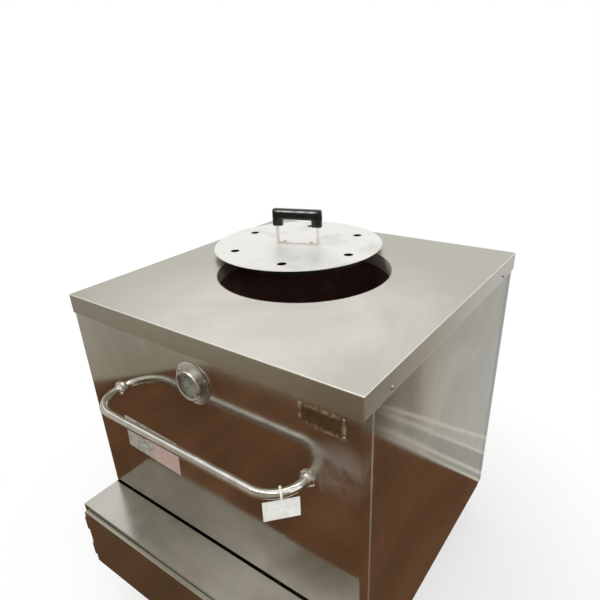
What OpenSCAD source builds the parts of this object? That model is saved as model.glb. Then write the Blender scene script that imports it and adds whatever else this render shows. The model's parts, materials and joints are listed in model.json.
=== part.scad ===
// Gas-fired clay tandoor oven in a square stainless-steel casing on castors.
// The clay pot stands on a hearth plate over a ring burner. A loose vented lid lies half across the mouth.
// Frame: Z up, front towards -Y, origin on the floor under the centre of the outline.

/* [Casing] */
// Width of the top cover, left to right
cover_w = 813; // [740:1:900]
// Depth of the top cover, front to back
cover_d = 820; // [740:1:900]
// Height of the casing from its bottom edge to the top of the cover
body_h = 796; // [740:1:900]
// Thickness of the cover sheet
cover_t = 1.5; // [1:0.1:3]
// Depth of the cover's turned-down lip
lip_h = 48; // [34:1:80]
// Gap between the lip and the panels inside it
lip_gap = 1.1; // [0.5:0.1:3]
// Thickness of the panel sheets
panel_t = 1.2; // [0.8:0.1:2]
// Width of the side flanges of the front and rear panels
flange_w = 50; // [40:1:80]
// Part of those flanges that the side panels leave showing
flange_show = 35; // [15:1:38]
// Length of each vent slot in the rear panel
vent_l = 120; // [60:1:160]
// Height of each vent slot
vent_h = 8; // [4:1:12]
// Number of vent slots in each of the two stacks
vent_count = 4; // [2:1:5]

/* [Frame] */
// Leg of the angle steel of the base frame
frame_leg = 40; // [34:1:60]
// Thickness of the angle steel of the base frame
frame_t = 4; // [3:0.5:6]
// Leg of the corner posts
post_leg = 30; // [24:1:36]
// Thickness of the corner posts
post_t = 3; // [2:0.5:5]
// Side of the square rails under the hearth plate
rail_w = 20; // [14:1:30]
// Thickness of the base pan
pan_t = 1.5; // [1:0.1:3]
// Radius of the air hole in the base pan
air_hole_r = 48; // [30:1:50]

/* [Mouth and pot] */
// Radius of the mouth inside its collar
mouth_r = 225; // [190:1:240]
// Mouth centre, to the right of the cover's centre
mouth_x = -18; // [-24:1:24]
// Mouth centre, behind the cover's centre
mouth_y = 22; // [-24:1:26]
// Depth of the collar below the top of the cover
collar_h = 37; // [20:1:60]
// Thickness of the collar sheet
collar_t = 1.5; // [1:0.1:3]
// Thickness of the clay wall
clay_t = 34; // [24:1:36]
// Gap between the collar and the clay neck round it
neck_gap = 1.5; // [0.5:0.1:6]
// Length of the straight neck
neck_l = 126; // [124:1:170]
// How far the belly stands out past the neck
belly_out = 58; // [30:1:64]
// How far the foot of the pot stands out past the neck
foot_out = 14; // [0:1:28]
// Height of the belly's widest ring above the pot floor, as the share of the curved wall below it
belly_share = 0.42; // [0.3:0.01:0.6]
// Thickness of the pot floor
pot_floor_t = 36; // [24:1:50]
// Radius of the flame hole in the pot floor
flame_hole_r = 90; // [70:1:96]
// Thickness of the fibre gasket between rim and cover
gasket_t = 12; // [6:1:20]
// Space between the panels and the insulation
wool_gap = 6; // [5:1:14]
// Space between the cover and the top of the insulation
wool_top_gap = 22; // [14:1:50]

/* [Hearth and burner] */
// Height of the underside of the hearth plate above the casing's bottom edge
hearth_up = 166; // [160:1:190]
// Thickness of the hearth plate
hearth_t = 4; // [3:0.5:8]
// Radius of the hole in the hearth plate
hearth_hole_r = 100; // [98:1:120]
// Radius of the ring burner
burner_r = 80; // [66:1:88]
// Radius of the hole through the ring burner
burner_hole_r = 30; // [20:1:36]
// Height of the ring burner's casting
burner_h = 34; // [32:1:40]
// Number of flame ports
port_count = 24; // [12:2:32]
// Radius of each flame port
port_r = 2.5; // [1.5:0.5:3]
// Radius of the flame spreader
spreader_r = 116; // [112:1:130]
// Height of the spreader's legs
spreader_leg_h = 24; // [14:1:40]

/* [Service box] */
// Drop from the top of the cover to the box's flat top
shelf_drop = 583; // [560:1:590]
// How far the box stands out from the front panel
box_d = 110; // [100:1:170]
// Gap between the box's top and the front panel
shelf_gap = 4.5; // [2:0.5:8]
// Left edge of the door, from the box's left side
door_inset = 16; // [14:1:30]
// Right edge of the door, to the right of the centre
door_right = 118; // [60:1:150]
// Margin above and below the door
door_margin = 12; // [8:1:20]
// Depth of the door's folded tray
door_tray = 12; // [8:1:18]
// Radius of the hinge pins
pin_r = 3; // [2:0.5:4]
// Radius of the hinge knuckles
knuckle_r = 6; // [5.5:0.5:6]

/* [Gas train] */
// Height of the burner's and the valve's axis above the casing's bottom edge
gas_up = 98; // [94:1:106]
// Place of the control knob, from the right edge of the panels
knob_inset = 154; // [140:1:200]
// Place of the igniter button, from the right edge of the panels
button_inset = 69; // [54:1:78]
// Radius of the control knob
knob_r = 24; // [16:1:28]
// Length of the control knob
knob_l = 26; // [18:1:34]
// Radius of the igniter button
button_r = 8; // [6:0.5:9]
// How far the button stands out
button_out = 9; // [7.5:0.5:14]
// Outer radius of the threaded gas inlet
inlet_r = 10.5; // [8:0.5:13]
// Length of the inlet behind the rear panel
inlet_l = 28; // [20:1:40]
// Radius of the supply pipe inside the casing
supply_r = 9; // [7:0.5:9]

/* [Push handle] */
// Drop from the top of the cover to the handle's axis
handle_drop = 223; // [215:1:255]
// Handle's middle, to the right of the casing's middle
handle_x = 7; // [-20:1:20]
// Distance between the handle's two feet
handle_span = 564; // [400:1:620]
// Reach of the handle's axis in front of the panel
handle_reach = 84; // [70:1:100]
// Bend radius of the handle's axis
handle_bend = 72; // [40:1:72]
// Radius of the handle tube
handle_r = 9.5; // [8:0.5:12]
// Radius of the handle sockets
socket_r = 18; // [15:0.5:22]
// Height of the handle sockets
socket_h = 12; // [8:0.5:16]

/* [Thermometer] */
// Drop from the top of the cover to the thermometer's axis
gauge_drop = 115; // [100:1:124]
// Radius of the mounting flange
gauge_flange_r = 49.5; // [46:0.5:56]
// Radius of the bezel
bezel_r = 35; // [32:0.5:38]
// Depth of the case in front of the flange
gauge_case_h = 13; // [10:0.5:18]
// Radius of the dial
dial_r = 29; // [26:0.5:30]
// Radius of the stem
stem_r = 4; // [3:0.5:6]

/* [Plates and tag] */
// Width of the blank nameplate
nameplate_w = 100; // [70:1:106]
// Height of the blank nameplate
nameplate_h = 46; // [30:1:50]
// Nameplate centre, from the right edge of the panels
nameplate_inset = 81; // [78:1:94]
// Nameplate centre, below the top of the cover
nameplate_drop = 79; // [76:1:90]
// Width of the blank label
label_w = 195; // [150:1:200]
// Height of the blank label
label_h = 98; // [70:1:110]
// Label centre, from the left edge of the panels
label_inset = 211; // [184:1:254]
// Label centre, below the top of the cover
label_drop = 360; // [345:1:400]
// Turn of the label
label_turn = -2.8; // [-5:0.1:5]
// Width of the hanging card tag
tag_w = 70; // [40:1:90]
// Height of the hanging card tag
tag_h = 46; // [30:1:70]

/* [Lid] */
// Radius of the lid disc
lid_r = 240; // [236:1:260]
// Thickness of the lid disc
lid_t = 1.5; // [1:0.1:3]
// Gap all round between the lid's ring and the mouth that it fits
lid_ring_gap = 6; // [3:0.5:12]
// Height of the lid's ring
lid_ring_h = 17; // [8:0.5:30]
// Lid centre at rest, to the right of the cover's centre
lid_x = -131; // [-140:1:-110]
// Lid centre at rest, behind the cover's centre
lid_y = 150; // [120:1:160]
// Radius of each vent hole in the lid
lid_vent_r = 12.5; // [6:0.5:16]
// Radius of the circle of vent holes
lid_vent_ring_r = 184; // [150:1:196]
// Turn of the circle of vent holes
lid_vent_turn = 53; // [0:1:60]
// Turn of the grip on the lid
grip_turn = 17; // [-90:1:90]
// Length of the grip
grip_l = 146; // [120:1:160]
// Depth of the grip, front to back
grip_w = 24; // [20:1:30]
// Height of the grip's bar
grip_bar_h = 21; // [16:1:28]
// Length of the grip's legs below its bar
grip_leg_h = 21; // [14:1:30]
// Height of the grip's leg ends above the lid
grip_up = 56; // [30:1:70]
// Width of the strap that carries the grip
strap_w = 18; // [10:1:18]
// Thickness of the strap
strap_t = 2.5; // [2:0.5:4]

/* [Castors] */
// Height of a castor, floor to the underside of the frame
castor_h = 125; // [125:1:150]
// Radius of a castor wheel
wheel_r = 50; // [40:1:50]
// Width of a castor wheel
wheel_w = 32; // [24:1:36]
// Trail of a castor wheel behind its swivel
trail = 38; // [38:1:42]
// Distance of each swivel from the panels' corners
castor_inset = 72; // [66:1:90]

/* [Fits] */
// Radial clearance of a shaft in its hole
fit = 0.05; // [0.02:0.01:0.1]
// Gap between faces that move past each other
play = 0.4; // [0.3:0.1:1]

/* [Hidden] */
$fn = 48;

STEEL = [0.72, 0.71, 0.67];
PANEL = [0.50, 0.48, 0.44];
POLISHED = [0.84, 0.84, 0.82];
BLACK = [0.07, 0.07, 0.07];
CLAY = [0.45, 0.26, 0.18];
IRON = [0.22, 0.22, 0.23];
GALVANISED = [0.62, 0.64, 0.65];
BRASS = [0.72, 0.58, 0.30];
WHITE = [0.92, 0.92, 0.90];
WOOL = [0.86, 0.80, 0.60];

// Heights
base_z = castor_h;
top_z = base_z + body_h;
seat_z = top_z - cover_t;
frame_top_z = base_z + frame_leg;
hearth_z = base_z + hearth_up;
pot_z = hearth_z + hearth_t;
pot_floor_z = pot_z + pot_floor_t;
rim_z = seat_z - gasket_t;
gas_z = base_z + gas_up;
shelf_z = top_z - shelf_drop;
handle_z = top_z - handle_drop;
gauge_z = top_z - gauge_drop;

// Outer faces of the panels, from the casing's centre
panel_x = cover_w / 2 - cover_t - lip_gap;
panel_y = cover_d / 2 - cover_t - lip_gap;
// Outer and inner faces of the shell that the front and rear panels' flanges make
shell_x = panel_x - panel_t;
inner_x = shell_x - panel_t;
inner_y = panel_y - panel_t;

// Service box and door
box_y = -panel_y - box_d;
door_gap = 0.5;
door_y = box_y - door_gap - door_tray;
door_left = -shell_x + door_inset;
door_low = base_z + door_margin;
door_high = shelf_z - door_margin;
door_lap = 8;
hinge_x = door_left - knuckle_r - 1;
hinge_y = box_y - knuckle_r - door_gap;
hinge_shares = [0.24, 0.76];
knuckle_l = 14;
door_knob_l = 22;
door_knob_r = 13;

// The casing's centre, so that the origin lies under the centre of the whole outline
front_reach = max(-door_y + door_knob_l, -box_y + knob_l + play);
rear_reach = panel_y + inlet_l;
body_y = (front_reach - rear_reach) / 2;

// Control knob, valve and igniter
knob_x = panel_x - knob_inset;
button_x = panel_x - button_inset;
valve_w = 56;
valve_d = 44;
valve_h = 48;
valve_y = box_y + panel_t + 16;
valve_neck_r = 9;
spindle_r = 4;
spindle_in = 20;
igniter_r = 11;
igniter_l = 34;
igniter_rim_r = 14;
igniter_rim_h = 3;
button_travel = 6;
feed_r = 5;
venturi_r = 15;
venturi_bore_r = 12;
jet_r = 9;
jet_l = 20;
venturi_y = -inner_y + 60;
burner_wall = 7;
window_reach = 172;
window_past_button = 20;
window_left = mouth_x - window_reach;
window_right = button_x + window_past_button;
window_low = frame_top_z + 6;
window_high = hearth_z - rail_w - 6;
thermocouple_r = 1.6;
thermocouple_turn = -50;
thermocouple_out = 22;
lead_r = 2.5;
bend_swell = 1.06;
burner_leg_r = 6;
spreader_disc_t = 5;
spreader_cone_h = 14;
spreader_top_r = 40;

// Pot profile: radius of the inner wall at a share u of the curved wall, foot to neck
collar_r = mouth_r + collar_t;
neck_r = collar_r + neck_gap;
belly_r = neck_r + belly_out;
foot_r = neck_r + foot_out;
curve_low_z = pot_floor_z;
curve_high_z = rim_z - neck_l;
function curve_z(u) = curve_low_z + (curve_high_z - curve_low_z) * u;
function wall_r(u) = u < belly_share
    ? foot_r + (belly_r - foot_r) * sin(90 * u / belly_share)
    : belly_r + (neck_r - belly_r) * (1 - cos(180 * (u - belly_share) / (1 - belly_share))) / 2;
WALL_STEPS = 20;
wall_shares = [for (i = [0 : WALL_STEPS]) i / WALL_STEPS];

// Thermometer, all along its axis in front of the panel
gauge_flange_t = 2;
gauge_case_r = bezel_r - 1.5;
gauge_face = gauge_flange_t + gauge_case_h;
dial_floor = gauge_face - 8;
dial_t = 0.8;
pointer_up = dial_floor + dial_t + 1;
pointer_t = 0.8;
bezel_up = gauge_face - 3;
bezel_lip_up = 2.6;
lens_t = 2;
lens_up = bezel_up + bezel_lip_up - lens_t;
hub_r = 1.5;
gauge_screw_ring_r = (bezel_r + gauge_flange_r) / 2;
gauge_screw_turns = [25, 145, 265];

// Nameplate, label and tag, with the place where the tie goes round the handle's right bend
nameplate_x = panel_x - nameplate_inset;
label_x = label_inset - panel_x;
nameplate_t = 1;
nameplate_cut = 14;
rivet_inset = 5;
label_t = 0.4;
tag_t = 0.8;
tie_turn = 48;
tie_t = 1.2;
tie_w = 4;
tie_at = [
    handle_x + handle_span / 2 - handle_bend + handle_bend * sin(tie_turn),
    -panel_y - handle_reach + handle_bend - handle_bend * cos(tie_turn),
    handle_z
];

// Lid
lid_z = top_z + lid_ring_h;
lid_top_z = lid_z + lid_t;
lid_ring_r = mouth_r - lid_ring_gap;
lid_ring_t = 1.5;
grip_leg_w = 26;
strap_set = 11;
strap_span = grip_l - 2 * strap_set;
strap_in = 12;
lid_screw_x = strap_span / 2 - 22;

// Castors
castor_plate_x = 100;
castor_plate_y = 84;
castor_plate_t = 4;
castor_bolt_x = 76;
castor_bolt_y = 60;
castor_bolt_r = 4;
castor_x = panel_x - castor_inset;
castor_y = panel_y - castor_inset;
race_r = 26;
race_h = 9;
crown_r = 28;
crown_t = 6.5;
crown_z = base_z - castor_plate_t - race_h - play - crown_t;
kingpin_r = 6;
fork_t = 4;
fork_gap = 2;
axle_r = 5;
axle_boss_r = 12;
axle_head_r = 8;
axle_head_t = 3;
gusset = 126;
CORNERS = [[-1, -1], [1, -1], [-1, 1], [1, 1]];

// Screws
screw_r = 2.5;
screw_head_r = 5;
screw_head_h = 2.6;
screw_l = 5;
rivet_r = 1.6;
rivet_head_r = 3.2;
rivet_head_h = 1.6;
cover_screw_y = 313;
cover_screw_drop = 35;
rear_screw_rows = [0.12, 0.5, 0.86];

// Moves a sub-part from the casing's own centre to the part's frame
module in_casing() {
    translate([0, body_y, 0]) children();
}

// A block from its lowest to its highest corner
module block(low, high) {
    translate(low) cube(high - low);
}

// Turns a shape drawn along +Z so that it points to the front
module facing_front() {
    rotate([90, 0, 0]) children();
}

// A ring of revolution with straight walls, standing on Z = 0
module ring(r_in, r_out, h) {
    rotate_extrude($fn = 128) translate([r_in, 0]) square([r_out - r_in, h]);
}

// A screw with its head's seat at Z = 0 and its shank below
module pan_screw(head_r = screw_head_r, head_h = screw_head_h, shank_r = screw_r, shank_l = screw_l) {
    cylinder(h = head_h, r1 = head_r, r2 = head_r * 0.72);
    translate([0, 0, -shank_l]) cylinder(h = shank_l, r = shank_r);
}

// A round rod along a route of straight stretches, with a slightly fuller ball at each bend
module rod(route, r) {
    for (i = [0 : len(route) - 2]) {
        run = route[i + 1] - route[i];
        translate(route[i])
            rotate([0, acos(run.z / norm(run)), atan2(run.y, run.x)])
                cylinder(h = norm(run), r = r);
    }
    for (i = [1 : 1 : len(route) - 2]) translate(route[i]) sphere(r = r * bend_swell);
}

// A flat outline with its corners rounded by true arcs
module round_square(size, r) {
    translate([r, 0]) square([size.x - 2 * r, size.y]);
    translate([0, r]) square([size.x, size.y - 2 * r]);
    for (x = [r, size.x - r], y = [r, size.y - r]) translate([x, y]) circle(r = r);
}

// The four places at x and y to both sides of the casing's centre
module at_corners(x, y) {
    for (side = CORNERS) translate([side.x * x, side.y * y, 0]) children();
}

// What a level plate leaves out round the four corner posts
module post_notches(gap) {
    notch = 2 * (post_leg + gap);
    at_corners(inner_x, inner_y) cube([notch, notch, 4 * top_z], center = true);
}

// Cover and collar

module cover_screw_places() {
    for (sx = [-1, 1], sy = [-1, 1])
        translate([sx * cover_w / 2, sy * cover_screw_y, top_z - cover_screw_drop])
            rotate([0, sx * 90, 0]) children();
}

module top_cover() {
    in_casing() color(STEEL) difference() {
        block([-cover_w / 2, -cover_d / 2, top_z - lip_h], [cover_w / 2, cover_d / 2, top_z]);
        block([-cover_w / 2 + cover_t, -cover_d / 2 + cover_t, top_z - lip_h - 1],
              [cover_w / 2 - cover_t, cover_d / 2 - cover_t, seat_z]);
        translate([mouth_x, mouth_y, seat_z - 1]) cylinder(h = cover_t + 2, r = collar_r, $fn = 160);
        cover_screw_places() translate([0, 0, -cover_t - lip_gap / 2])
            cylinder(h = cover_t + lip_gap, r = screw_r + fit);
    }
}

module mouth_collar() {
    in_casing() color(STEEL)
        translate([mouth_x, mouth_y, top_z - collar_h]) ring(mouth_r, collar_r, collar_h);
}

module cover_screws() {
    in_casing() color(POLISHED) cover_screw_places() pan_screw();
}

// Casing panels

// A flat panel with flanges turned back along both sides, outer face at Y = 0 and body behind it
module flanged_panel() {
    block([-shell_x, 0, base_z], [shell_x, panel_t, seat_z]);
    for (sx = [-1, 1]) translate([sx * (shell_x - panel_t / 2), flange_w / 2, (base_z + seat_z) / 2])
        cube([panel_t, flange_w, seat_z - base_z], center = true);
}

module front_panel() {
    in_casing() color(PANEL) difference() {
        translate([0, -panel_y, 0]) flanged_panel();
        block([window_left, -panel_y - 1, window_low], [window_right, -inner_y + 1, window_high]);
        translate([0, -inner_y + 1, gauge_z]) facing_front() cylinder(h = panel_t + 2, r = stem_r + fit);
        gauge_screw_places() cylinder(h = 2 * screw_l, r = rivet_r + fit, center = true);
        nameplate_rivet_places() cylinder(h = 2 * screw_l, r = rivet_r + fit, center = true);
    }
}

module rear_screw_places() {
    for (sx = [-1, 1], share = rear_screw_rows)
        translate([sx * (shell_x - post_leg / 2 - panel_t), panel_y, base_z + body_h * share])
            rotate([-90, 0, 0]) children();
}

module rear_panel() {
    vent_x = 110;
    in_casing() color(PANEL) difference() {
        translate([0, panel_y, 0]) mirror([0, 1, 0]) flanged_panel();
        for (sx = [-1, 1], i = [0 : vent_count - 1])
            translate([sx * vent_x, 0, window_low + vent_h * (1 + 2.4 * i)])
                block([-vent_l / 2, inner_y - 1, 0], [vent_l / 2, panel_y + 1, vent_h]);
        translate([knob_x, inner_y - 1, gas_z]) rotate([-90, 0, 0])
            cylinder(h = panel_t + 2, r = supply_r + fit);
        rear_screw_places() translate([0, 0, -screw_l]) cylinder(h = screw_l + 1, r = screw_r + fit);
    }
}

module rear_panel_screws() {
    in_casing() color(POLISHED) rear_screw_places() pan_screw(shank_l = panel_t + post_t);
}

// A side panel lapped over the flanges, on the side that side gives
module side_panel(side) {
    in_casing() color(PANEL) difference() {
        translate([side * (panel_x - panel_t / 2), 0, (base_z + seat_z) / 2])
            cube([panel_t, 2 * (panel_y - flange_show), seat_z - base_z], center = true);
        cover_screw_places() translate([0, 0, -cover_t - lip_gap - panel_t - 1])
            cylinder(h = panel_t + lip_gap + 1, r = screw_r + fit);
    }
}

module left_panel() {
    side_panel(-1);
}

module right_panel() {
    side_panel(1);
}

// Frames

module inner_frame() {
    in_casing() color(GALVANISED) difference() {
        union() {
            for (side = CORNERS) scale([side.x, side.y, 1]) {
                block([inner_x - post_leg, inner_y - post_t, frame_top_z], [inner_x, inner_y, seat_z]);
                block([inner_x - post_t, inner_y - post_leg, frame_top_z], [inner_x, inner_y, seat_z]);
            }
            difference() {
                block([-inner_x, -inner_y, hearth_z - rail_w], [inner_x, inner_y, hearth_z]);
                block([-inner_x + rail_w, -inner_y + rail_w, hearth_z - rail_w - 1],
                      [inner_x - rail_w, inner_y - rail_w, hearth_z + 1]);
            }
        }
        rear_screw_places() translate([0, 0, -screw_l - post_t])
            cylinder(h = screw_l + post_t, r = screw_r + fit);
    }
}

module castor_bolt_places() {
    at_corners(castor_x, castor_y)
        for (x = [-1, 1], y = [-1, 1])
            translate([x * castor_bolt_x / 2, y * castor_bolt_y / 2, base_z]) children();
}

module base_frame() {
    in_casing() color(IRON) difference() {
        union() {
            difference() {
                block([-inner_x, -inner_y, base_z], [inner_x, inner_y, frame_top_z]);
                block([-inner_x + frame_t, -inner_y + frame_t, base_z + frame_t],
                      [inner_x - frame_t, inner_y - frame_t, frame_top_z + 1]);
                block([-inner_x + frame_leg, -inner_y + frame_leg, base_z - 1],
                      [inner_x - frame_leg, inner_y - frame_leg, base_z + frame_t + 1]);
            }
            for (side = CORNERS) scale([side.x, side.y, 1])
                block([inner_x - gusset, inner_y - gusset, base_z],
                      [inner_x - 1, inner_y - 1, base_z + frame_t]);
        }
        castor_bolt_places() translate([0, 0, -1]) cylinder(h = frame_t + 2, r = castor_bolt_r + fit);
    }
}

module base_pan() {
    in_casing() color(GALVANISED) difference() {
        block([-inner_x, -inner_y, frame_top_z], [inner_x, inner_y, frame_top_z + pan_t]);
        post_notches(play);
        translate([mouth_x, mouth_y, frame_top_z - 1]) cylinder(h = pan_t + 2, r = air_hole_r);
    }
}

module hearth_plate() {
    in_casing() color(IRON) difference() {
        block([-inner_x + play, -inner_y + play, hearth_z], [inner_x - play, inner_y - play, pot_z]);
        post_notches(play);
        translate([mouth_x, mouth_y, hearth_z - 1]) cylinder(h = hearth_t + 2, r = hearth_hole_r);
    }
}

// Pot, gasket and insulation

// The pot's outer wall as a flat outline from the axis out, widened by gap
module pot_outline(gap = 0) {
    polygon(concat(
        [[0, pot_z - gap], [wall_r(0) + clay_t + gap, pot_z - gap]],
        [for (u = wall_shares) [wall_r(u) + clay_t + gap, curve_z(u)]],
        [[neck_r + clay_t + gap, rim_z + gap], [0, rim_z + gap]]
    ));
}

module clay_pot() {
    in_casing() color(CLAY) translate([mouth_x, mouth_y, 0]) rotate_extrude($fn = 128) difference() {
        pot_outline();
        polygon(concat(
            [[0, pot_z - 1], [flame_hole_r, pot_z - 1], [flame_hole_r, pot_floor_z]],
            [for (u = wall_shares) [wall_r(u), curve_z(u)]],
            [[neck_r, rim_z + 1], [0, rim_z + 1]]
        ));
    }
}

module rim_gasket() {
    in_casing() color(WHITE)
        translate([mouth_x, mouth_y, rim_z]) ring(neck_r + 3, neck_r + clay_t - 3, gasket_t);
}

module insulation() {
    wool_x = inner_x - wool_gap;
    wool_y = inner_y - wool_gap;
    in_casing() color(WOOL) difference() {
        block([-wool_x, -wool_y, pot_z], [wool_x, wool_y, seat_z - wool_top_gap]);
        post_notches(1);
        translate([mouth_x, mouth_y, 0]) rotate_extrude($fn = 128) pot_outline(gap = play);
        translate([0, -wool_y - 1, gauge_z]) rotate([-90, 0, 0]) cylinder(h = wool_y, r = stem_r + play);
    }
}

// Burner and gas train

module burner() {
    burner_z = gas_z - burner_h / 2;
    in_casing() color(IRON) translate([mouth_x, mouth_y, 0]) {
        difference() {
            union() {
                translate([0, 0, burner_z]) ring(burner_hole_r, burner_r, burner_h);
                translate([0, venturi_y - mouth_y, gas_z]) rotate([-90, 0, 0])
                    cylinder(h = -venturi_y + mouth_y - burner_hole_r - 10, r = venturi_r);
                for (turn = [30, 150, 270]) rotate([0, 0, turn])
                    translate([(burner_r + burner_hole_r) / 2 + 4, 0, frame_top_z + pan_t])
                        cylinder(h = burner_z - frame_top_z - pan_t + 1, r = burner_leg_r);
            }
            translate([0, venturi_y - mouth_y + 4, gas_z]) rotate([-90, 0, 0])
                cylinder(h = -venturi_y + mouth_y - burner_hole_r - 24, r = venturi_bore_r);
            translate([0, venturi_y - mouth_y - 1, gas_z]) rotate([-90, 0, 0])
                cylinder(h = 6, r = jet_r + fit);
            translate([-venturi_r - 1, venturi_y - mouth_y + 12, gas_z - 5])
                cube([2 * venturi_r + 2, 26, 10]);
            translate([0, 0, burner_z + burner_wall])
                ring(burner_hole_r + 8, burner_r - 6, burner_h - 2 * burner_wall);
            for (i = [0 : port_count - 1]) rotate([0, 0, 360 * (i + 0.5) / port_count])
                translate([burner_r - 12, 0, gas_z + burner_h / 2 - burner_wall - 1])
                    cylinder(h = burner_wall + 2, r = port_r);
        }
    }
}

module flame_spreader() {
    in_casing() color(IRON) translate([mouth_x, mouth_y, pot_floor_z]) {
        translate([0, 0, spreader_leg_h]) cylinder(h = spreader_disc_t, r = spreader_r, $fn = 96);
        translate([0, 0, spreader_leg_h + spreader_disc_t])
            cylinder(h = spreader_cone_h, r1 = spreader_r, r2 = spreader_top_r, $fn = 96);
        for (turn = [90, 210, 330]) rotate([0, 0, turn])
            translate([(flame_hole_r + spreader_r) / 2, 0, 0])
                cylinder(h = spreader_leg_h, r = burner_leg_r);
    }
}

module gas_valve() {
    in_casing() color(BRASS) difference() {
        union() {
            block([knob_x - valve_w / 2, valve_y, gas_z - valve_h / 2],
                  [knob_x + valve_w / 2, valve_y + valve_d, gas_z + valve_h / 2]);
            translate([knob_x, valve_y, gas_z]) facing_front()
                cylinder(h = valve_y - box_y - panel_t, r = valve_neck_r);
        }
        translate([knob_x, valve_y + spindle_in - 10, gas_z]) facing_front()
            cylinder(h = spindle_in + 12, r = spindle_r + fit);
    }
}

module gas_supply_pipe() {
    bore_r = supply_r - 2;
    stub_gap = 2;
    in_casing() color(GALVANISED) difference() {
        union() {
            translate([knob_x, valve_y + valve_d, gas_z]) rotate([-90, 0, 0])
                cylinder(h = panel_y + inlet_l - valve_y - valve_d, r = supply_r);
            translate([knob_x, panel_y + stub_gap, gas_z]) rotate([-90, 0, 0])
                cylinder(h = inlet_l - stub_gap, r = inlet_r);
        }
        translate([knob_x, panel_y + inlet_l + 1, gas_z]) facing_front()
            cylinder(h = inlet_l, r = bore_r);
    }
}

module burner_feed_pipe() {
    bend_y = valve_y + valve_d / 2;
    in_casing() color(BRASS) {
        rod([
            [knob_x - valve_w / 2, bend_y, gas_z],
            [mouth_x, bend_y, gas_z],
            [mouth_x, venturi_y - 10, gas_z]
        ], feed_r);
        translate([mouth_x, venturi_y - 12, gas_z]) rotate([-90, 0, 0]) cylinder(h = jet_l, r = jet_r);
    }
}

module igniter() {
    in_casing() color(BLACK) translate([button_x, box_y, gas_z]) facing_front() difference() {
        union() {
            cylinder(h = igniter_rim_h, r = igniter_rim_r);
            translate([0, 0, -igniter_l]) cylinder(h = igniter_l + 1, r = igniter_r);
        }
        translate([0, 0, -button_travel - 14])
            cylinder(h = button_travel + 14 + igniter_rim_h + 1, r = button_r + fit);
    }
}

module igniter_button() {
    in_casing() color([0.70, 0.12, 0.10]) translate([button_x, box_y, gas_z]) facing_front()
        translate([0, 0, -12]) {
            cylinder(h = 12 + igniter_rim_h + button_out - 1, r = button_r);
            translate([0, 0, 12 + igniter_rim_h + button_out - 1])
                cylinder(h = 1, r1 = button_r, r2 = button_r - 1);
        }
}

module spark_lead() {
    tip = [mouth_x + burner_r + 4, mouth_y - 20, gas_z + burner_h / 2 + 8];
    low_z = frame_top_z + 14;
    in_casing() color(WHITE) rod([
        [button_x, box_y + igniter_l, gas_z],
        [button_x, box_y + igniter_l + 30, gas_z],
        [button_x, -inner_y + 40, low_z],
        [button_x - 30, tip.y, low_z],
        [tip.x, tip.y, low_z],
        tip
    ], lead_r);
}

// A point beside the ring burner, out by away from its rim and up above its top
function beside_burner(away, up) = [
    mouth_x + (burner_r + away) * cos(thermocouple_turn),
    mouth_y + (burner_r + away) * sin(thermocouple_turn),
    gas_z + burner_h / 2 + up
];

module thermocouple() {
    out_x = knob_x - valve_w / 2 + 10;
    out_z = gas_z + valve_h / 2 - 8;
    in_casing() color(BRASS) rod([
        [out_x, valve_y + valve_d, out_z],
        [out_x, mouth_y - 3 * burner_r, out_z],
        beside_burner(thermocouple_out, 2),
        beside_burner(2.5, 14)
    ], thermocouple_r);
}

// Service box and its door

module at_hinges() {
    for (share = hinge_shares)
        translate([hinge_x, hinge_y, door_low + (door_high - door_low) * share]) children();
}

module service_box() {
    in_casing() color(PANEL) difference() {
        union() {
            block([-shell_x, box_y, base_z], [shell_x, -panel_y, shelf_z]);
            at_hinges() for (s = [-1, 1]) translate([0, 0, s * (knuckle_l + play)]) {
                cylinder(h = knuckle_l, r = knuckle_r, center = true);
                translate([-knuckle_r, 0, -knuckle_l / 2])
                    cube([2 * knuckle_r, knuckle_r + door_gap + panel_t / 2, knuckle_l]);
            }
        }
        block([-inner_x, box_y + panel_t, base_z + panel_t], [inner_x, -panel_y + 1, shelf_z - panel_t]);
        block([-inner_x, -panel_y - shelf_gap, shelf_z - panel_t - 1],
              [inner_x, -panel_y + 1, shelf_z + 1]);
        block([door_left + door_lap, box_y - 1, door_low + door_lap],
              [door_right - door_lap, box_y + panel_t + 1, door_high - door_lap]);
        translate([knob_x, box_y + panel_t + 1, gas_z]) facing_front()
            cylinder(h = panel_t + 2, r = spindle_r + 1);
        translate([button_x, box_y + panel_t + 1, gas_z]) facing_front()
            cylinder(h = panel_t + 2, r = igniter_r + fit);
        at_hinges() cylinder(h = 4 * knuckle_l, r = pin_r + fit, center = true);
    }
}

module door_hinge_pins() {
    pin_l = 3 * knuckle_l + 2 * play;
    in_casing() color(POLISHED) at_hinges() {
        cylinder(h = pin_l, r = pin_r, center = true);
        for (s = [-1, 1]) translate([0, 0, s * (pin_l / 2 + 1)])
            cylinder(h = 2, r = pin_r + 1.5, center = true);
    }
}

module access_door() {
    in_casing() color(STEEL) difference() {
        union() {
            difference() {
                block([door_left, door_y, door_low], [door_right, box_y - door_gap, door_high]);
                block([door_left + panel_t, door_y + panel_t, door_low + panel_t],
                      [door_right - panel_t, box_y, door_high - panel_t]);
            }
            at_hinges() {
                cylinder(h = knuckle_l, r = knuckle_r, center = true);
                translate([0, -knuckle_r / 2, -knuckle_l / 2])
                    cube([door_left - hinge_x + panel_t / 2, knuckle_r, knuckle_l]);
            }
        }
        at_hinges() cylinder(h = 4 * knuckle_l, r = pin_r + fit, center = true);
    }
}

module door_knob() {
    in_casing() color(BLACK)
        translate([door_right - 34, door_y, (door_low + door_high) / 2]) facing_front()
            rotate_extrude() polygon([
                [0, 0], [7, 0], [6, 6], [door_knob_r - 2, 11], [door_knob_r, 15],
                [door_knob_r - 3, door_knob_l], [0, door_knob_l]
            ]);
}

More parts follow.
